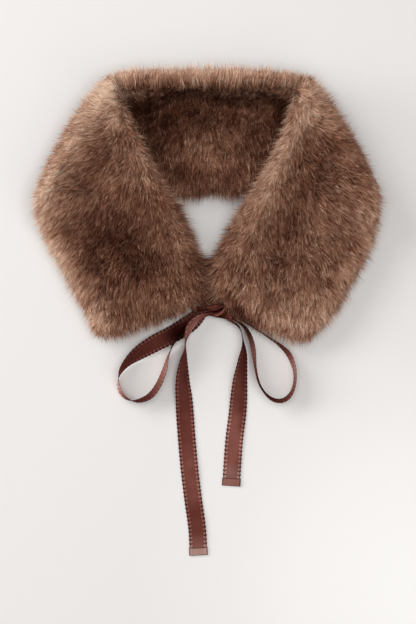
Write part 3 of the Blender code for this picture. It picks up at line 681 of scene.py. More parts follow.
def hairs(surfaces, rows, tone_base, tone_and_painted_light_rows, hang_rows, seed, outline, weight, floor, height, under, kind,
          fold_from=0.7):
    """One kind of hair whose tips lie on or past the given surfaces."""
    count, per_lock, stations, half_width, root, tip_spread, past, past_spread, edge, tone_shift = kind
    rng = np.random.default_rng(seed)

    def share(p, n):
        up = np.abs(n[:, 2]) / np.maximum(np.linalg.norm(n, axis=1), 1e-9)
        side_on = np.clip(1.15 - up, 0.0, 1.0) ** 1.5
        return weight(p, n) * np.maximum((1 - edge) + edge * side_on, 0.0)

    areas = [float((s.area).sum()) for s in surfaces]
    locks = max(1, count // per_lock)
    got = [s.sample(locks * a / sum(areas), share, rng) for s, a in zip(surfaces, areas)]
    tip, nrm, mid, fold = (np.concatenate([g[k] for g in got]) for k in range(4))
    keep = fold > fold_from
    tip, nrm, mid, fold = tip[keep], nrm[keep], mid[keep], fold[keep]
    heading, stand = comb(rows, tip)
    noise = np.random.default_rng(4000).integers(1, 9000)          # the same clumps for all kinds of hair
    turn = np.radians(12.0 * waves(noise, 26.0)(tip) + rng.normal(0, 8.0, len(tip)))
    c, s = np.cos(turn), np.sin(turn)
    heading = np.stack([heading[:, 0] * c - heading[:, 1] * s, heading[:, 0] * s + heading[:, 1] * c], 1)
    stand = np.radians(np.clip(stand + 7.0 * waves(noise + 2, 20.0)(tip) + rng.normal(0, 6.0, len(tip)), 6.0, 82.0))
    flow = np.concatenate([heading, np.zeros((len(tip), 1))], 1)
    into = np.sum(flow * nrm, 1, keepdims=True)
    flow = unit(flow - nrm * np.where(into < 0, into, 0.0) + nrm * (0.7 * edge))
    if under:
        stand = np.radians(8.0) + 0 * stand
    lean = np.maximum(stand - np.arcsin(np.clip(np.sum(flow * nrm, 1), 0, 1)), np.radians(5.0))
    # the hair's tone, with the painted light and shade of the ovals
    tone = tone_at(tone_base, tone_and_painted_light_rows, tip) + tone_shift
    tone += 0.05 * waves(noise + 3, 32.0)(tip) + 0.045 * waves(noise + 4, 9.0)(tip) + rng.normal(0, 0.10, len(tip))
    side_on = np.clip(1.15 - np.abs(nrm[:, 2]), 0.0, 1.0) ** 1.5
    # hair seen side-on at the edges is painted lighter, as light shining through thin hair
    tone += 0.12 * side_on
    hang = tone_at(0.0, hang_rows, tip)
    drawn_in = np.minimum(hang, 0.0)
    fringe = FRINGE + np.maximum(hang, 0.0) + 0.4 * drawn_in + 1.3 * waves(noise + 7, 13.0)(tip) + rng.normal(0, 1.1, len(tip))
    lift = 0.9 * waves(noise + 5, 17.0)(tip) + rng.normal(0, 0.75, len(tip))
    tip = tip + nrm * lift[:, None]
    tip[:, :2] += nrm[:, :2] * (0.75 * drawn_in)[:, None]
    depth = height * rng.uniform(0.9, 1.1, len(tip))

    # one lock to several hairs
    n = len(tip) * per_lock
    lock = np.repeat(np.arange(len(tip)), per_lock)
    tip, nrm, flow, lean, tone, depth, side_on, hang, fringe = (
        a[lock] for a in (tip, nrm, flow, lean, tone, depth, side_on, hang, fringe))
    across = unit(np.cross(nrm, flow))
    flow = unit(flow + across * rng.normal(0, np.radians(5.0 + 9.0 * edge), n)[:, None])
    end = unit(flow * np.cos(lean)[:, None] + nrm * np.sin(lean)[:, None])
    end = unit(end + nrm * (side_on * np.clip(hang - 3.0, 0.0, 6.0) * 0.12)[:, None])
    start = unit(end + nrm * 0.9)
    rise = 0.5 * np.sum(end * nrm, 1) + 0.5 * np.sum(start * nrm, 1)
    length = np.clip(depth / np.maximum(rise, 0.3), 8.0, 19.0 - 2.0 * side_on)
    spread_root = rng.normal(0, root, (n, 2))
    spread_tip = spread_root * 0.14 + rng.normal(0, tip_spread, (n, 2))
    reach = past + past_spread * rng.normal(0, 1.0, n)
    over_edge = fringe + 6.0 * edge + FRINGE_SPREAD * rng.normal(0, 1.0, n)
    reach = np.minimum(reach, 1.6 + 0.8 * edge)
    reach = reach + side_on * (over_edge - reach)
    reach = np.minimum(reach, 1.6 + 0.8 * edge + side_on * (3.0 + 0.6 * hang + 1.2 * edge + 9.0 * max(0.0, edge - 1.0)))
    p2 = tip + across * spread_tip[:, :1] + flow * spread_tip[:, 1:] * 0.6 + end * reach[:, None]
    bend = rng.normal(0, 0.8, n)[:, None] + (0.8 * waves(noise + 6, 12.0)(tip))[:, None]
    p1 = p2 - end * (length * 0.5 + np.maximum(reach, 0.0) * 0.6)[:, None] + across * (spread_root[:, :1] * 0.6 + bend)
    p0 = p1 - start * (length * 0.5)[:, None] + across * (spread_root[:, :1] * 0.4) + flow * spread_root[:, 1:]
    if stations == 2:                       # short straight ends of hair, rooted in the pile
        t = 0.30
        root_at = (1 - t) ** 2 * p0 + 2 * t * (1 - t) * p1 + t * t * p2
        points = np.stack([root_at, p2], 1)
    else:
        points = np.stack([(1 - t) ** 2 * p0 + 2 * t * (1 - t) * p1 + t * t * p2
                           for t in np.linspace(0.0, 1.0, stations)], 1)
    low = floor + rng.random(n)[:, None] * 0.9
    points[..., 2] = np.maximum(points[..., 2], low)
    ok = inside(outline, points[:, 0])
    points, nrm, tone, n = points[ok], nrm[ok], tone[ok], int(ok.sum())
    direction = unit(points[:, -1] - points[:, 0])
    turn = rng.normal(0, 0.75, n)
    flat = unit(np.cross(direction, nrm))
    rise_v = unit(np.cross(flat, direction))
    side = flat * np.cos(turn)[:, None] + rise_v * np.sin(turn)[:, None]
    base_w = half_width * rng.uniform(0.8, 1.2, n)
    if stations == 2:
        half = base_w[:, None] * np.array([[1.25, 0.0]])
    else:
        half = base_w[:, None] * np.interp(np.linspace(0, 1, stations), [0, 0.45, 0.8, 1.0], [0.8, 1.0, 0.62, 0.0])[None]
    tone = tone + rng.normal(0, 0.17 if stations == 2 else 0.20, n)
    return hair_set(points, side, half, tone)


def grow(name, surfaces, key, kinds, material, seed, outline, weight=None, floor=0.25, height=11.0, under=False,
         extra=None, extra_weight=None, extra_hang=0.0, fold_from=0.7, lighter=0.0):
    weight = weight or (lambda p, n: np.ones(len(p)))
    sets = [hairs(surfaces, COMB[key], TONE_BASE[key] + lighter, TONE_AND_PAINTED_LIGHT[key], HANG[key], seed + 11 * k, outline, weight,
                  floor, height, under, kind, fold_from)
            for k, kind in enumerate(kinds)]
    if extra:
        hang = HANG[key] + ((0, 20, 900, 900, 0, extra_hang),)
        sets.append(hairs(surfaces, COMB[key], TONE_BASE[key], TONE_AND_PAINTED_LIGHT[key], hang, seed + 91, outline, extra_weight,
                          floor, height, under, extra))
    return hair_mesh(name, sets, material)


def in_slit(p, n):
    """The walls where the two front ends meet."""
    fade = np.clip((66.0 - p[:, 1]) / 30.0, 0.0, 1.0) ** 1.5
    return np.where((np.abs(p[:, 0]) < 10.0) & (p[:, 1] > 10.0) & (p[:, 2] > 3.0), fade, 0.0)


# ---- materials --------------------------------------------------------------------
def new_material(name):
    material = bpy.data.materials.new(name)
    material.use_nodes = True
    return material, material.node_tree.nodes, material.node_tree.links, material.node_tree.nodes["Principled BSDF"]


def ramp(nodes, stops):
    node = nodes.new("ShaderNodeValToRGB")
    elements = node.color_ramp.elements
    while len(elements) > 1:
        elements.remove(elements[-1])
    elements[0].position, elements[0].color = stops[0][0], (*stops[0][1], 1.0)
    for place, colour in stops[1:]:
        elements.new(place).color = (*colour, 1.0)
    return node


def srgb(r, g, b):
    return tuple((c / 255 / 12.92) if c / 255 <= 0.04045 else ((c / 255 + 0.055) / 1.055) ** 2.4 for c in (r, g, b))


def fur_material(name):
    """Colour by how light the hair is, which carries painted light and shade, and from root to tip: the dark roots are
    painted shade deep in the pile, the tips painted lighter as lit hair.
    """
    material, nodes, links, shader = new_material(name)
    uv = nodes.new("ShaderNodeUVMap")
    uv.uv_map = "OFBake"
    split = nodes.new("ShaderNodeSeparateXYZ")
    links.new(uv.outputs["UV"], split.inputs["Vector"])
    # the lightest stops are paler than the hair itself: painted light on lit and backlit hair
    tone = ramp(nodes, [(0.0, srgb(50, 27, 20)), (0.2, srgb(92, 54, 41)), (0.4, srgb(137, 91, 71)),
                        (0.6, srgb(180, 131, 106)), (0.8, srgb(221, 180, 152)), (1.0, srgb(255, 234, 213))])
    links.new(split.outputs["X"], tone.inputs["Fac"])
    # root to tip: painted shade at the roots deep in the pile, painted light above 1 at the tips
    rise = ramp(nodes, [(0.0, (0.22, 0.155, 0.13)), (0.32, (0.54, 0.46, 0.42)), (0.56, (0.85, 0.80, 0.77)),
                        (0.8, (1.05, 1.03, 1.01)), (1.0, (1.24, 1.24, 1.22))])
    links.new(split.outputs["Y"], rise.inputs["Fac"])
    mix = nodes.new("ShaderNodeMix")
    mix.data_type, mix.blend_type = "RGBA", "MULTIPLY"
    mix.inputs["Factor"].default_value = 1.0
    links.new(tone.outputs["Color"], mix.inputs["A"])
    links.new(rise.outputs["Color"], mix.inputs["B"])
    links.new(mix.outputs["Result"], shader.inputs["Base Color"])
    shader.inputs["Roughness"].default_value = 0.5
    shader.inputs["Specular IOR Level"].default_value = 0.04
    return material


def backing_material(name):
    """The knitted backing and short underfur that the pile grows from."""
    material, nodes, links, shader = new_material(name)
    coords = nodes.new("ShaderNodeTexCoord")
    noise = nodes.new("ShaderNodeTexNoise")
    noise.inputs["Scale"].default_value = 620.0
    noise.inputs["Detail"].default_value = 4.0
    links.new(coords.outputs["Object"], noise.inputs["Vector"])
    colour = ramp(nodes, [(0.3, srgb(40, 22, 16)), (0.55, srgb(60, 35, 26)), (0.75, srgb(86, 55, 42))])
    links.new(noise.outputs["Fac"], colour.inputs["Fac"])
    links.new(colour.outputs["Color"], shader.inputs["Base Color"])
    bump = nodes.new("ShaderNodeBump")
    bump.inputs["Strength"].default_value = 0.8
    bump.inputs["Distance"].default_value = 0.0008
    links.new(noise.outputs["Fac"], bump.inputs["Height"])
    links.new(bump.outputs["Normal"], shader.inputs["Normal"])
    shader.inputs["Roughness"].default_value = 0.85
    shader.inputs["Specular IOR Level"].default_value = 0.05
    return material


def satin_material(name, cloth_light, cloth_dark, length=None, hem_colour=None, lighter_end=1.0):
    """Satin ribbon: plain centre, a selvedge of small loops on both sides, and where length is given a stitched hem. A
    second map holds painted highlights where the cloth turns to the light and painted shade where it lies in shadow."""
    material, nodes, links, shader = new_material(name)

    def math(kind, a, b=None, clamp=False):
        node = nodes.new("ShaderNodeMath")
        node.operation, node.use_clamp = kind, clamp
        for k, value in enumerate((a, b)):
            if value is None:
                continue
            if isinstance(value, (int, float)):
                node.inputs[k].default_value = value
            else:
                links.new(value, node.inputs[k])
        return node.outputs[0]

    def mixed(kind, factor, a, b):
        node = nodes.new("ShaderNodeMix")
        node.data_type, node.blend_type = "RGBA", kind
        for key, value in (("Factor", factor), ("A", a), ("B", b)):
            if isinstance(value, (int, float)):
                node.inputs[key].default_value = value
            elif isinstance(value, tuple):
                node.inputs[key].default_value = (*value, 1.0)
            else:
                links.new(value, node.inputs[key])
        return node.outputs["Result"]

    uv = nodes.new("ShaderNodeUVMap")
    uv.uv_map = "weave"
    split = nodes.new("ShaderNodeSeparateXYZ")
    links.new(uv.outputs["UV"], split.inputs["Vector"])
    across, run = split.outputs["X"], split.outputs["Y"]
    from_edge = math("SUBTRACT", 1.0, math("ABSOLUTE", math("SUBTRACT", math("MULTIPLY", across, 2.0), 1.0)))
    coords = nodes.new("ShaderNodeTexCoord")
    noise = nodes.new("ShaderNodeTexNoise")
    noise.inputs["Scale"].default_value = 70.0
    noise.inputs["Detail"].default_value = 3.0
    links.new(coords.outputs["Object"], noise.inputs["Vector"])
    cloth = ramp(nodes, [(0.3, cloth_dark), (0.7, cloth_light)])
    links.new(noise.outputs["Fac"], cloth.inputs["Fac"])
    colour = cloth.outputs["Color"]
    # the selvedge: small loops, their light partly their own weave and partly painted highlight, with dark gaps between
    # them, and a thin line where they end
    selvedge_and_painted_gloss = ramp(nodes, [(0.0, (0.62, 0.58, 0.58)), (0.09, (0.85, 0.82, 0.82)), (0.17, (1.75, 2.2, 2.3)), (0.27, (2.1, 2.8, 2.95)),
                        (0.36, (1.5, 1.75, 1.8)), (0.42, (0.86, 0.82, 0.82)), (0.47, (0.92, 0.90, 0.90)), (0.50, (1.0, 1.0, 1.0))])
    links.new(from_edge, selvedge_and_painted_gloss.inputs["Fac"])
    sway = math("MULTIPLY", from_edge, 4.5)
    loops = math("SINE", math("ADD", math("MULTIPLY", run, 2.0 * 3.14159265 / PICOT), sway))
    gap = math("MULTIPLY", math("SUBTRACT", 0.12, loops), 1.2, clamp=True)
    depth = ramp(nodes, [(0.0, (1.0,) * 3), (0.20, (0.95,) * 3), (0.30, (0.85,) * 3), (0.38, (0.55,) * 3), (0.46, (0.0,) * 3)])
    links.new(from_edge, depth.inputs["Fac"])
    gap = math("MULTIPLY", gap, depth.outputs["Color"])
    edged = mixed("MULTIPLY", 1.0, colour, selvedge_and_painted_gloss.outputs["Color"])
    edged = mixed("MIX", gap, edged, tuple(0.50 * c for c in cloth_dark))
    if length is None:
        colour = edged
    else:
        from_hem = math("SUBTRACT", run, length - 9.0)
        in_hem = math("MULTIPLY", math("SUBTRACT", from_hem, -0.1), 4.0, clamp=True)
        if lighter_end != 1.0:
            near_end = math("MULTIPLY", math("ADD", from_hem, 17.0), 1.0 / 17.0, clamp=True)
            edged = mixed("MIX", near_end, edged, mixed("MULTIPLY", 1.0, edged, (lighter_end, lighter_end * 1.4, lighter_end * 1.5)))
        hem_noise = mixed("MULTIPLY", 1.0, tuple(hem_colour), mixed("MIX", noise.outputs["Fac"], (0.75, 0.72, 0.72), (1.25, 1.28, 1.28)))
        hem_edge = ramp(nodes, [(0.0, (0.4, 0.3, 0.3)), (0.06, (0.55, 0.45, 0.45)), (0.12, (1.3, 1.35, 1.35)), (0.26, (1.0,) * 3)])
        links.new(from_edge, hem_edge.inputs["Fac"])
        hem_all = mixed("MULTIPLY", 1.0, hem_noise, hem_edge.outputs["Color"])
        last = math("MULTIPLY", math("SUBTRACT", from_hem, 8.3), 2.0, clamp=True)
        hem_all = mixed("MIX", last, hem_all, tuple(0.7 * c for c in cloth_dark))
        colour = mixed("MIX", in_hem, edged, hem_all)
        # the stitches: dark dashes with light thread between
        near_stitch = math("SUBTRACT", 1.0, math("MULTIPLY", math("ABSOLUTE", math("SUBTRACT", from_hem, 0.8)), 1.4), clamp=True)
        near_stitch = math("MULTIPLY", near_stitch, 2.4, clamp=True)
        dash = math("ADD", math("MULTIPLY", math("SINE", math("MULTIPLY", across, 52.0)), 0.45), 0.85, clamp=True)
        thread = mixed("MIX", dash, tuple(min(1.0, 1.6 * c) for c in cloth_light), (0.026, 0.014, 0.013))
        inside_edge = math("MULTIPLY", math("SUBTRACT", from_edge, 0.10), 20.0, clamp=True)
        colour = mixed("MIX", math("MULTIPLY", near_stitch, inside_edge), colour, thread)
    # painted highlights and painted shade from the second map, with a slow random change of lightness
    painted_sheen_and_shade_uv = nodes.new("ShaderNodeUVMap")
    painted_sheen_and_shade_uv.uv_map = "gleam"
    painted_sheen_and_shade_split = nodes.new("ShaderNodeSeparateXYZ")
    links.new(painted_sheen_and_shade_uv.outputs["UV"], painted_sheen_and_shade_split.inputs["Vector"])
    slow = nodes.new("ShaderNodeTexNoise")
    slow.inputs["Scale"].default_value = 17.0
    slow.inputs["Detail"].default_value = 1.0
    links.new(coords.outputs["Object"], slow.inputs["Vector"])
    level = math("ADD", painted_sheen_and_shade_split.outputs["X"], math("MULTIPLY", math("SUBTRACT", slow.outputs["Fac"], 0.5), 0.22))
    gleam = ramp(nodes, [(0.0, (0.16, 0.12, 0.12)), (0.25, (0.5, 0.42, 0.42)), (0.5, (1.0, 1.0, 1.0)), (0.75, (2.3, 3.1, 3.3)),
                         (1.0, (4.4, 8.2, 8.8))])
    links.new(level, gleam.inputs["Fac"])
    colour = mixed("MULTIPLY", 1.0, colour, gleam.outputs["Color"])
    links.new(colour, shader.inputs["Base Color"])
    ribs = nodes.new("ShaderNodeTexWave")
    ribs.wave_type, ribs.bands_direction = "BANDS", "Y"
    ribs.inputs["Scale"].default_value = 0.5
    ribs.inputs["Distortion"].default_value = 0.6
    links.new(uv.outputs["UV"], ribs.inputs["Vector"])
    bump = nodes.new("ShaderNodeBump")
    bump.inputs["Strength"].default_value = 0.3
    bump.inputs["Distance"].default_value = 0.0002
    links.new(ribs.outputs["Fac"], bump.inputs["Height"])
    links.new(bump.outputs["Normal"], shader.inputs["Normal"])
    shader.inputs["Roughness"].default_value = 0.5
    shader.inputs["Specular IOR Level"].default_value = 0.0
    return material


# ---- grids into meshes ----------------------------------------------------------
def closed_faces(upper, lower):
    """Points and outward quads of a closed cloth between two grids of the same rows and columns."""
    rows, cols = upper.shape[:2]
    verts = np.concatenate([upper.reshape(-1, 3), lower.reshape(-1, 3)])
    low = rows * cols
    index = np.arange(low).reshape(rows, cols)
    a, b, c, d = index[:-1, :-1], index[:-1, 1:], index[1:, 1:], index[1:, :-1]
    top = np.stack([a, b, c, d], -1).reshape(-1, 4)
    under = top[:, ::-1] + low
    ring = np.concatenate([index[0, :], index[1:, -1], index[-1, -2::-1], index[-2:0:-1, 0]])
    nxt = np.roll(ring, -1)
    wall = np.stack([nxt, ring, ring + low, nxt + low], -1)
    faces = np.concatenate([top, under, wall])
    p = verts[faces]
    centre = verts.mean(0)
    volume = np.sum(np.cross(p[:, 0] - centre, p[:, 1] - centre) * (p[:, 2] - centre)
                    + np.cross(p[:, 0] - centre, p[:, 2] - centre) * (p[:, 3] - centre))
    if volume < 0:
        faces = faces[:, ::-1]
    return verts, faces


def closed_from_grids(name, grids, material, uv_name="weave"):
    """One mesh of thin closed cloths. grids: (upper, lower, uv, painted sheen and shade) each."""
    all_verts, all_faces, all_uv, all_painted_sheen_and_shade, count = [], [], [], [], 0
    for upper, lower, uv, gleam in grids:
        verts, faces = closed_faces(upper, lower)
        all_verts.append(verts)
        all_faces.append(faces + count)
        if uv is not None:
            all_uv.append(np.concatenate([uv.reshape(-1, 2), uv.reshape(-1, 2)]))
            flat = np.stack([np.clip(gleam, 0.0, 1.0).ravel(), np.full(gleam.size, 0.5)], -1)
            all_painted_sheen_and_shade.append(np.concatenate([flat, flat]))
        count += len(verts)
    verts, faces = np.concatenate(all_verts), np.concatenate(all_faces)
    mesh = bpy.data.meshes.new(name)
    mesh.vertices.add(len(verts))
    mesh.vertices.foreach_set("co", (verts * MM).astype(np.float32).ravel())
    mesh.loops.add(len(faces) * 4)
    mesh.loops.foreach_set("vertex_index", faces.astype(np.int32).ravel())
    mesh.polygons.add(len(faces))
    mesh.polygons.foreach_set("loop_start", np.arange(0, len(faces) * 4, 4, dtype=np.int32))
    mesh.update(calc_edges=True)
    if all_uv:
        layer = mesh.uv_layers.new(name=uv_name)
        layer.uv.foreach_set("vector", np.concatenate(all_uv)[faces.ravel()].astype(np.float32).ravel())
        layer = mesh.uv_layers.new(name="gleam")
        layer.uv.foreach_set("vector", np.concatenate(all_painted_sheen_and_shade)[faces.ravel()].astype(np.float32).ravel())
    mesh.shade_smooth()
    mesh.materials.append(material)
    obj = bpy.data.objects.new(name, mesh)
    bpy.context.scene.collection.objects.link(obj)
    return obj


def skin(name, layers, sign, v0, v1, material, inset=13.0, length=280.0):
    """The backing cloth of a panel, a thin layer close to the middle of the strip."""
    us = np.linspace(inset / 140.0, 1 - inset / 140.0, 40)
    vs = np.linspace(v0, v1, 64)
    u, v = np.meshgrid(us, vs)
    f = layers(u, v)
    ripple = waves(77, 24.0)(np.stack([f["x"], f["y"], f["mid"]], -1).reshape(-1, 3)).reshape(f["x"].shape)
    z = f["mid"] + sign * (1.0 + 1.7 * f["edge"] * f["turn"] + 0.35 * ripple)
    near = np.stack([f["x"], f["y"], z], -1)
    far = near + np.array([0, 0, sign * 1.0])
    return closed_from_grids(name, [(far, near, None, None)], material)


# ---- ribbon strips ----------------------------------------------------------------
def ribbon_frames(rows, step=0.5):
    rows = np.asarray(rows, float)
    keys, length = keys_of(rows[:, :3])
    n = max(8, int(length / step))
    t = np.linspace(0, 1, n + 1)
    got = along(rows, t, keys)
    centre = got[:, :3]
    tangent = unit(np.gradient(centre, axis=0))
    flat = np.hypot(tangent[:, 0], tangent[:, 1])
    side = np.stack([-tangent[:, 1] / flat, tangent[:, 0] / flat, np.zeros(len(flat))], 1)
    rise = np.cross(tangent, side)
    rise *= np.where(rise[:, 2:] < 0, -1.0, 1.0)
    lean = np.radians(got[:, 3])
    c, s = np.cos(lean)[:, None], np.sin(lean)[:, None]
    run = np.concatenate([[0.0], np.cumsum(np.linalg.norm(np.diff(centre, axis=0), axis=1))])
    return centre, side * c - rise * s, side * s + rise * c, got[:, 4], run


PICOT = 4.45
ACROSS = np.array([-1.0, -0.93, -0.86, -0.78, -0.62, -0.42, -0.15, 0.15, 0.42, 0.62, 0.78, 0.86, 0.93, 1.0])


def painted_sheen_and_shade_at(rows, p):
    """0.5 is the cloth's own lightness; the ovals add painted highlights and painted shade, as for the hair, over the
    points in plan.
    """
    return tone_at(0.5, rows, p.reshape(-1, p.shape[-1])).reshape(p.shape[:-1])


def ribbon_grids(rows, wall=0.5, hem=None, seed=0, pleat_from=19.0, pleat=0.5, slant=0.0, step=0.5, edging=True, painted_sheen_and_shade_ovals=()):
    """Satin ribbon with small loops along both edges; gathered in pleats where it narrows."""
    centre, across, face, width, run = ribbon_frames(rows, step)
    a = ACROSS[None, :]
    loops = 1.0 * np.abs(np.sin(math.pi * run / PICOT))[:, None] ** 0.8 - 0.66
    if hem:
        loops = np.where((run > run[-1] - hem)[:, None], 0.55, loops)
    if not edging:
        loops = loops * 0.0
    half = width[:, None] / 2 - 0.35
    spread = a * half + np.sign(a) * np.where(np.abs(a) > 0.99, loops, 0.0)
    gathered = np.clip((pleat_from - width) / 10.0, 0.0, 1.0)[:, None]
    off = gathered * pleat * np.sin(2.4 * math.pi * a + 0.6 + seed + slant * run[:, None])
    off = off + (0.14 * np.exp(-((np.abs(a) - 0.86) / 0.08) ** 2) * (0.5 - np.cos(2 * math.pi * run / PICOT))[:, None]
                 if edging else 0.0)
    wave = waves(300 + seed, 46.0, 2)(centre)
    off = off + 0.35 * wave[:, None] * (1 - a * a)
    thick = np.full_like(off, wall / 2)
    if hem:
        folded = (run > run[-1] - hem)[:, None]
        stitch = np.abs(run - (run[-1] - hem + 0.6))[:, None] < 0.5
        thick = thick + 0.25 * folded
        thick = thick - 0.22 * (stitch & folded)
    mid = centre[:, None, :] + across[:, None, :] * spread[..., None] + face[:, None, :] * off[..., None]
    upper = mid + face[:, None, :] * thick[..., None]
    lower = mid - face[:, None, :] * thick[..., None]
    for grid in (upper, lower):
        grid[..., 2] = np.maximum(grid[..., 2], 0.12)
    uv = np.stack([np.broadcast_to((a + 1) / 2, off.shape), np.broadcast_to(run[:, None], off.shape)], -1)
    return (upper, lower, uv, painted_sheen_and_shade_at(painted_sheen_and_shade_ovals, mid)), float(run[-1])


# painted highlights and painted shade on the ribbon: ovals as for the hair
PAINTED_SHEEN_AND_SHADE = {
    "satin_tie_left": ((-8, 6.5, 10, 2.2, 8, 0.14), (-8, 2.0, 12, 2.4, 0, -0.30)),
    "satin_tie_right": ((28, -4, 12, 6, -30, -0.2),),
    "satin_loop_left": (
        (-60, -38, 40, 16, 30, -0.09),
        (-29, -26, 14, 12, 30, -0.55),
        (-100, -82, 14, 9, 80, 0.48),
        (-95, -93, 9, 7, 0, 0.16),
        (-74, -97, 12, 6, 10, -0.08),
        (-46, -60, 26, 6, 70, 0.34),
        (-17, -5, 14, 4, 30, 0.06),
    ),
    "satin_loop_right": (
        (47, -32, 14, 5, -76, 0.06),
        (52, -50, 20, 4.5, -80, 0.30),
        (60, -84, 14, 8, -56, -0.16),
        (78, -98, 12, 6, 0, -0.04),
        (95.5, -62, 20, 6, 86, 0.30),
        (90, -49, 8, 6, -60, 0.04),
        (58, -24, 22, 9, -32, -0.36),
    ),
    "satin_tail_left": (
        (-16, -14, 18, 6, 52, 0.30),
        (-25, -32, 10, 6, 76, 0.16),
        (-22, -56, 22, 4, 86, -0.14),
        (-21, -172, 40, 20, 84, 0.07),
        (-13, -238, 22, 16, 84, -0.03),
    ),
    "satin_tail_right": (
        (36, -24, 12, 10, 80, -0.26),
        (42, -60, 42, 6, 88, -0.20),
        (27, -120, 40, 14, 88, 0.08),
        (25, -170, 34, 14, 84, 0.12),
    ),
}
# the pulled knot: its plan outline, its folds (a line over it, how high, how wide), and its lines of painted highlight
# and painted shade
KNOT_MIDDLE = (11.0, 0.2, 8.9)
KNOT_HALF = 6.4
KNOT_OUTLINE = (
    (-5.6, 1.0), (-3.2, -1.8), (0.4, -3.9), (4.7, -5.5), (9.7, -6.7), (16.5, -7.8), (22.0, -9.5), (25.4, -10.2),
    (26.8, -7.0), (25.9, -1.8), (22.8, 3.6), (18.0, 8.0), (10.5, 10.2), (3.0, 9.6), (-2.8, 7.8), (-5.8, 4.8),
)
KNOT_FOLDS = (
    (((-5.0, 4.6), (2.0, 7.4), (11.0, 8.2), (20.0, 4.8)), 1.3, 2.6),
    (((-5.0, 1.6), (1.5, 2.4), (8.0, 4.0), (14.0, 6.8)), 1.0, 1.8),
    (((5.8, -5.6), (11.0, -3.9), (15.6, -0.4), (18.8, 4.8)), 2.2, 1.5),
    (((23.8, -9.6), (24.9, -4.8), (22.8, 1.6)), 1.4, 1.6),
    (((-4.0, -1.8), (3.0, -1.4), (9.6, -0.4), (15.2, 2.8)), -2.2, 1.3),
    (((14.0, -6.6), (18.6, -4.4), (21.0, 0.4)), -0.9, 1.8),
)
KNOT_PAINTED_SHEEN_AND_SHADE = (
    (((7.4, -5.0), (12.4, -3.2), (16.4, 0.4), (18.8, 4.6)), 0.34, 1.15),
    (((24.9, -8.8), (25.2, -4.6), (23.6, 0.2)), 0.34, 1.1),
    (((-4.0, 3.2), (2.0, 4.6), (8.0, 6.2)), 0.26, 1.3),
    (((3.0, 8.6), (10.0, 9.2), (16.0, 7.6)), 0.05, 1.8),
    (((1.0, 5.8), (6.0, 7.6), (12.0, 7.6)), -0.22, 0.9),
    (((-5.0, -1.0), (3.0, -1.0), (9.6, 0.0), (15.2, 3.0)), -0.52, 1.3),
    (((13.0, -5.6), (18.6, -4.0), (21.4, 0.6)), -0.26, 1.9),
    (((2.0, -5.0), (10.0, -7.2), (18.0, -8.6), (24.0, -10.4)), -0.22, 1.2),
)


def from_line(points, x, y):
    """The distance in plan to a run of points."""
    best = np.full(np.shape(x), 1e9)
    for (x0, y0), (x1, y1) in zip(points, points[1:]):
        dx, dy = x1 - x0, y1 - y0
        t = np.clip(((x - x0) * dx + (y - y0) * dy) / (dx * dx + dy * dy), 0.0, 1.0)
        best = np.minimum(best, np.hypot(x - x0 - t * dx, y - y0 - t * dy))
    return best


def knot_grid():
    """The knot as one lump with the folds of the pulled ribbon over it, painted with highlights along the folds and
    shade in the gaps between them.
    """
    line = np.linspace(-1.0, 1.0, 81)
    a, b = np.meshgrid(line, line)
    x, y = a * np.sqrt(1 - b * b / 2), b * np.sqrt(1 - a * a / 2)
    r, angle = np.hypot(x, y), np.arctan2(y, x)
    edge = np.array(KNOT_OUTLINE) - np.array(KNOT_MIDDLE[:2])
    ring = np.concatenate([edge, edge[:1]])
    keys, _ = keys_of(ring)
    three = along(np.concatenate([ring[:-1], ring, ring[1:]]), np.linspace(1 / 3, 2 / 3, 400),
                  np.concatenate([keys[:-1] - 1, keys, keys[1:] + 1]) / 3 + 1 / 3)
    out_angle, out_r = np.arctan2(three[:, 1], three[:, 0]), np.hypot(three[:, 0], three[:, 1])
    order = np.argsort(out_angle)
    reach = np.interp(angle, out_angle[order], out_r[order], period=2 * math.pi)
    px = KNOT_MIDDLE[0] + r * reach * np.cos(angle)
    py = KNOT_MIDDLE[1] + r * reach * np.sin(angle)
    dome = np.sqrt(np.maximum(0.0, 1 - r * r))
    folds = sum(high * np.exp(-(from_line(points, px, py) / wide) ** 2) for points, high, wide in KNOT_FOLDS)
    wrinkle = sum(0.16 * np.cos(2 * math.pi * from_line(points, px, py) / 1.5) * np.exp(-(from_line(points, px, py) / 3.0) ** 2)
                  for points, high, wide in KNOT_FOLDS[:3])
    top = KNOT_MIDDLE[2] + (KNOT_HALF + folds + wrinkle) * dome + 0.02
    low = KNOT_MIDDLE[2] - (KNOT_HALF + 0.5 * np.sin(1.3 * px + 0.8 * py)) * dome - 0.02
    gleam = 0.36 + sum(change * np.exp(-(from_line(points, px, py) / wide) ** 2) for points, change, wide in KNOT_PAINTED_SHEEN_AND_SHADE)
    return (np.stack([px, py, top], -1), np.stack([px, py, low], -1),
            np.stack([np.full(a.shape, 0.5), 12.0 + py + 0.4 * px], -1), gleam)


# =================================================================================
# camera first
K = 1.1                       # mm of the surface to a pixel
HEIGHT = 3.4                  # m from the surface to the camera
scene = bpy.context.scene
camera_data = bpy.data.cameras.new("camera")
camera = bpy.data.objects.new("camera", camera_data)
scene.collection.objects.link(camera)
scene.camera = camera
camera.location = (-0.55 * MM, -0.55 * MM, HEIGHT)
camera.rotation_euler = (0.0, 0.0, 0.0)
camera_data.sensor_fit = "VERTICAL"
camera_data.sensor_height = 24.0
camera_data.lens = 24.0 * (HEIGHT - 0.02) / (624 * K * MM)
camera_data.clip_start, camera_data.clip_end = 0.05, 50.0

# materials
fur = {key: fur_material("fur_" + key) for key in ("outer_left", "outer_right", "inner_left", "inner_right",
                                                  "outer_back", "inner_back")}
backing = backing_material("fur_backing")
satin_light, satin_dark = (0.143, 0.0430, 0.0325), (0.110, 0.0305, 0.0228)

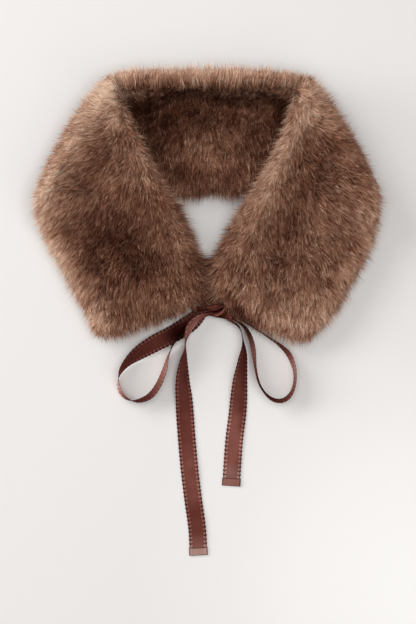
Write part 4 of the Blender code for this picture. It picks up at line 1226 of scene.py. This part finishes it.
# ---- fur: surfaces --------------------------------------------------------------
us = spaced(140.0, EDGE_ROUND, EDGE_ROUND)
us_foot = spaced(140.0, FOOT_ROUND, FOOT_ROUND)


def layers_of(side):
    return lambda u, v: front_layers(side, u, v)


def shown_back(p, n):
    """The back stretch between the fronts, and a little way under them."""
    open_half = 99.0 - 0.46 * (NECK_EDGE_Y - p[:, 1])
    return np.where(np.abs(p[:, 0]) < open_half + 16.0, 1.0, 0.0)


def shown_under(p, n):
    """The underside of a front where nothing lies below it, and its side edges."""
    side_wall = np.abs(n[:, 2]) < 0.6 * np.linalg.norm(n, axis=1)
    return np.where((p[:, 1] < 142.0), 1.0, np.where(side_wall, 1.0, 0.0))


made = {}
for side, seed in (("left", 100), ("right", 200)):
    stretch = FRONT[side]
    vs = spaced(stretch.length, FOLD_ROUND, EDGE_ROUND)
    vs_foot = spaced(stretch.length, FOLD_ROUND, FOOT_ROUND)
    top = Surface(layers_of(side), "top", us, vs, True)
    bottom = Surface(layers_of(side), "bottom", us_foot, vs_foot, False)
    outline = outline_of(layers_of(side), us, vs)
    made["fur_outer_" + side] = grow("fur_outer_" + side, [top], side, (
        (110000, 7, 2, 0.25, 0.85, 0.28, -1.6, 2.0, 0.0, 0.0),
        (20000, 4, 3, 0.20, 0.95, 0.34, -0.4, 1.5, 0.0, 0.02),
        (5600, 2, 3, 0.16, 0.5, 0.6, 1.4, 1.2, 1.0, -0.05),
        (2200, 1, 4, 0.13, 0.4, 1.2, 3.0, 2.0, 1.6, -0.02)), fur["outer_" + side], seed, outline, fold_from=0.12)
    # the inner hair, and extra hair on the walls of the slit between the front ends, 0.22 darker as painted shade in
    # the slit
    made["fur_inner_" + side] = grow("fur_inner_" + side, [bottom], side, (
        (34000, 8, 2, 0.30, 0.9, 0.26, -1.2, 1.6, 0.0, 0.0),
        (3600, 2, 3, 0.17, 0.5, 0.5, 1.0, 1.0, 1.0, -0.06)), fur["inner_" + side], seed + 50, outline,
        weight=shown_under, height=9.0, extra=(5200, 4, 3, 0.26, 0.6, 0.6, 2.0, 1.4, 1.0, -0.22),
        extra_weight=in_slit, extra_hang=5.0)

back_vs = spaced(BACK.length, FOLD_ROUND, FOLD_ROUND)
back_top = Surface(back_layers, "top", us, back_vs, True)
back_bottom = Surface(back_layers, "bottom", us_foot, back_vs, False)
back_outline = outline_of(back_layers, us, back_vs)
made["fur_inner_back"] = grow("fur_inner_back", [back_top], "back", (
    (106000, 7, 2, 0.25, 0.85, 0.28, -1.6, 2.0, 0.0, 0.0),
    (15000, 4, 3, 0.20, 0.95, 0.34, -0.4, 1.5, 0.0, 0.02),
    (5000, 2, 3, 0.16, 0.5, 0.6, 1.4, 1.2, 1.0, -0.06),
    (2600, 1, 4, 0.13, 0.4, 1.2, 3.0, 2.0, 1.6, -0.02)), fur["inner_back"], 300, back_outline, weight=shown_back)
made["fur_outer_back"] = grow("fur_outer_back", [back_bottom], "back", (
    (60000, 8, 2, 0.30, 0.9, 0.26, -1.2, 1.6, 0.0, 0.0),
    (6000, 2, 3, 0.17, 0.5, 0.5, 1.2, 1.2, 1.0, -0.08)), fur["outer_back"], 350, back_outline, height=9.0,
    fold_from=0.12, lighter=0.10)

# ---- backing cloths -------------------------------------------------------------
for side in ("left", "right"):
    length = FRONT[side].length
    for key, sign, start in (("outer", 1, 15.0), ("inner", -1, 19.0)):
        name = f"skin_{key}_{side}"
        made[name] = skin(name, layers_of(side), sign, start / length, 1 - 11.0 / length, backing)
        piece = made[name]
        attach(piece, "root")
        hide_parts(f"{key}_panel_{side}")
for key, sign, start in (("outer", -1, 11.0), ("inner", 1, 17.0)):
    name = f"skin_{key}_back"
    made[name] = skin(name, back_layers, sign, start / BACK.length, 1 - start / BACK.length, backing)
    piece = made[name]
    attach(piece, "root")
    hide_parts(f"{key}_panel_back")
for name, piece in made.items():
    if name.startswith("fur_"):
        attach(piece, "root")

# ---- ribbons --------------------------------------------------------------------
# each runs on a little into the knot or the fur
for name, node, before, rows, after, slot_name, hem in (
        ("satin_tie_left", "ribbon_tie_left", ((-18.6, 5.2, 15.8, 66.0, 11.0),), TIE_LEFT, ((0.6, 4.6, 13.2, 62.0, 8.5),),
         "satin_ties", None),
        ("satin_tie_right", "ribbon_tie_right", ((22.6, -2.8, 12.6, 58.0, 6.0),), TIE_RIGHT, ((33.0, -7.6, 14.6, 60.0, 7.0),),
         "satin_ties", None),
        ("satin_loop_left", "bow_loop_left", ((0.8, 2.2, 6.4, 24.0, 9.0),), LOOP_LEFT, ((0.2, 0.8, 12.4, 92.0, 7.5),),
         "satin_bow", None),
        ("satin_loop_right", "bow_loop_right", ((23.4, -7.0, 10.4, 76.0, 8.0),), LOOP_RIGHT, ((25.6, -5.0, 9.6, 86.0, 7.0),),
         "satin_bow", None),
        ("satin_tail_left", "ribbon_tail_left", ((4.6, -2.6, 11.6, 54.0, 6.5),), TAIL_LEFT, (), "satin_tails", 9.0),
        ("satin_tail_right", "ribbon_tail_right", ((21.4, -8.8, 9.0, 76.0, 8.0),), TAIL_RIGHT, (), "satin_tails", 9.0)):
    grid, length = ribbon_grids(before + rows + after, hem=hem, seed=len(made), painted_sheen_and_shade_ovals=PAINTED_SHEEN_AND_SHADE[name])
    if hem:
        left = name.endswith("left")
        cloth = satin_material(name, satin_light, satin_dark, length, (0.38, 0.225, 0.19) if left else (0.185, 0.072, 0.058),
                               1.7 if left else 1.15)
    else:
        cloth = satin_material(name, satin_light, satin_dark)
    piece = closed_from_grids(name, [grid], cloth)
    made[name] = piece
    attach(piece, "root")
    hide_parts(node)

piece = closed_from_grids("satin_knot", [knot_grid()], satin_material("satin_knot", satin_light, satin_dark))
made["satin_knot"] = piece
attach(piece, "root")
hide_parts("bow_knot")

# ---- floor, light ---------------------------------------------------------------
floor_mesh = bpy.data.meshes.new("floor")
floor_mesh.from_pydata([(-4, -4, 0), (4, -4, 0), (4, 4, 0), (-4, 4, 0)], [], [(0, 1, 2, 3)])
floor = bpy.data.objects.new("floor", floor_mesh)
scene.collection.objects.link(floor)
floor_material, nodes, links, shader = new_material("pale_floor")
coords = nodes.new("ShaderNodeTexCoord")
place = nodes.new("ShaderNodeMapping")
place.inputs["Location"].default_value = (-0.754, 0.928, 0.0)
place.inputs["Scale"].default_value = (2.9, 2.9, 1.0)
links.new(coords.outputs["Object"], place.inputs["Vector"])
# the floor's colour lightens towards the lower right: a painted pool of light
painted_light_pool = nodes.new("ShaderNodeTexGradient")
painted_light_pool.gradient_type = "SPHERICAL"
links.new(place.outputs["Vector"], painted_light_pool.inputs["Vector"])
pale = ramp(nodes, [(0.0, (0.768, 0.753, 0.742)), (0.25, (0.800, 0.786, 0.772)), (0.60, (0.885, 0.873, 0.855)), (1.0, (0.94, 0.93, 0.91))])
links.new(painted_light_pool.outputs["Fac"], pale.inputs["Fac"])
links.new(pale.outputs["Color"], shader.inputs["Base Color"])
shader.inputs["Roughness"].default_value = 0.75
floor_mesh.materials.append(floor_material)


def area_light(name, place, target, size, power, colour):
    data = bpy.data.lights.new(name, "AREA")
    data.shape, data.size = "DISK", size
    data.energy, data.color = power, colour
    obj = bpy.data.objects.new(name, data)
    scene.collection.objects.link(obj)
    obj.location = place
    d = np.array(target, float) - np.array(place, float)
    obj.rotation_mode = "QUATERNION"
    obj.rotation_quaternion = Vector(d).to_track_quat("-Z", "Y")
    return obj


area_light("key", (-1.9, 1.5, 1.9), (0, 0.05, 0), 1.6, 31.0, (1.0, 0.985, 0.97))
area_light("low", (-2.75, 0.5, 1.15), (0, 0.0, 0), 1.4, 33.0, (1.0, 0.985, 0.97))
area_light("over", (0.3, 0.1, 4.4), (0, 0, 0), 3.4, 115.0, (1.0, 0.99, 0.98))
area_light("fill", (1.6, -1.6, 2.2), (0.1, -0.1, 0), 2.2, 11.0, (1.0, 0.99, 0.985))
world = bpy.data.worlds.new("studio")
scene.world = world
world.use_nodes = True
world.node_tree.nodes["Background"].inputs["Color"].default_value = (1.0, 0.985, 0.99, 1.0)
world.node_tree.nodes["Background"].inputs["Strength"].default_value = 0.18
scene.view_settings.view_transform = "Standard"
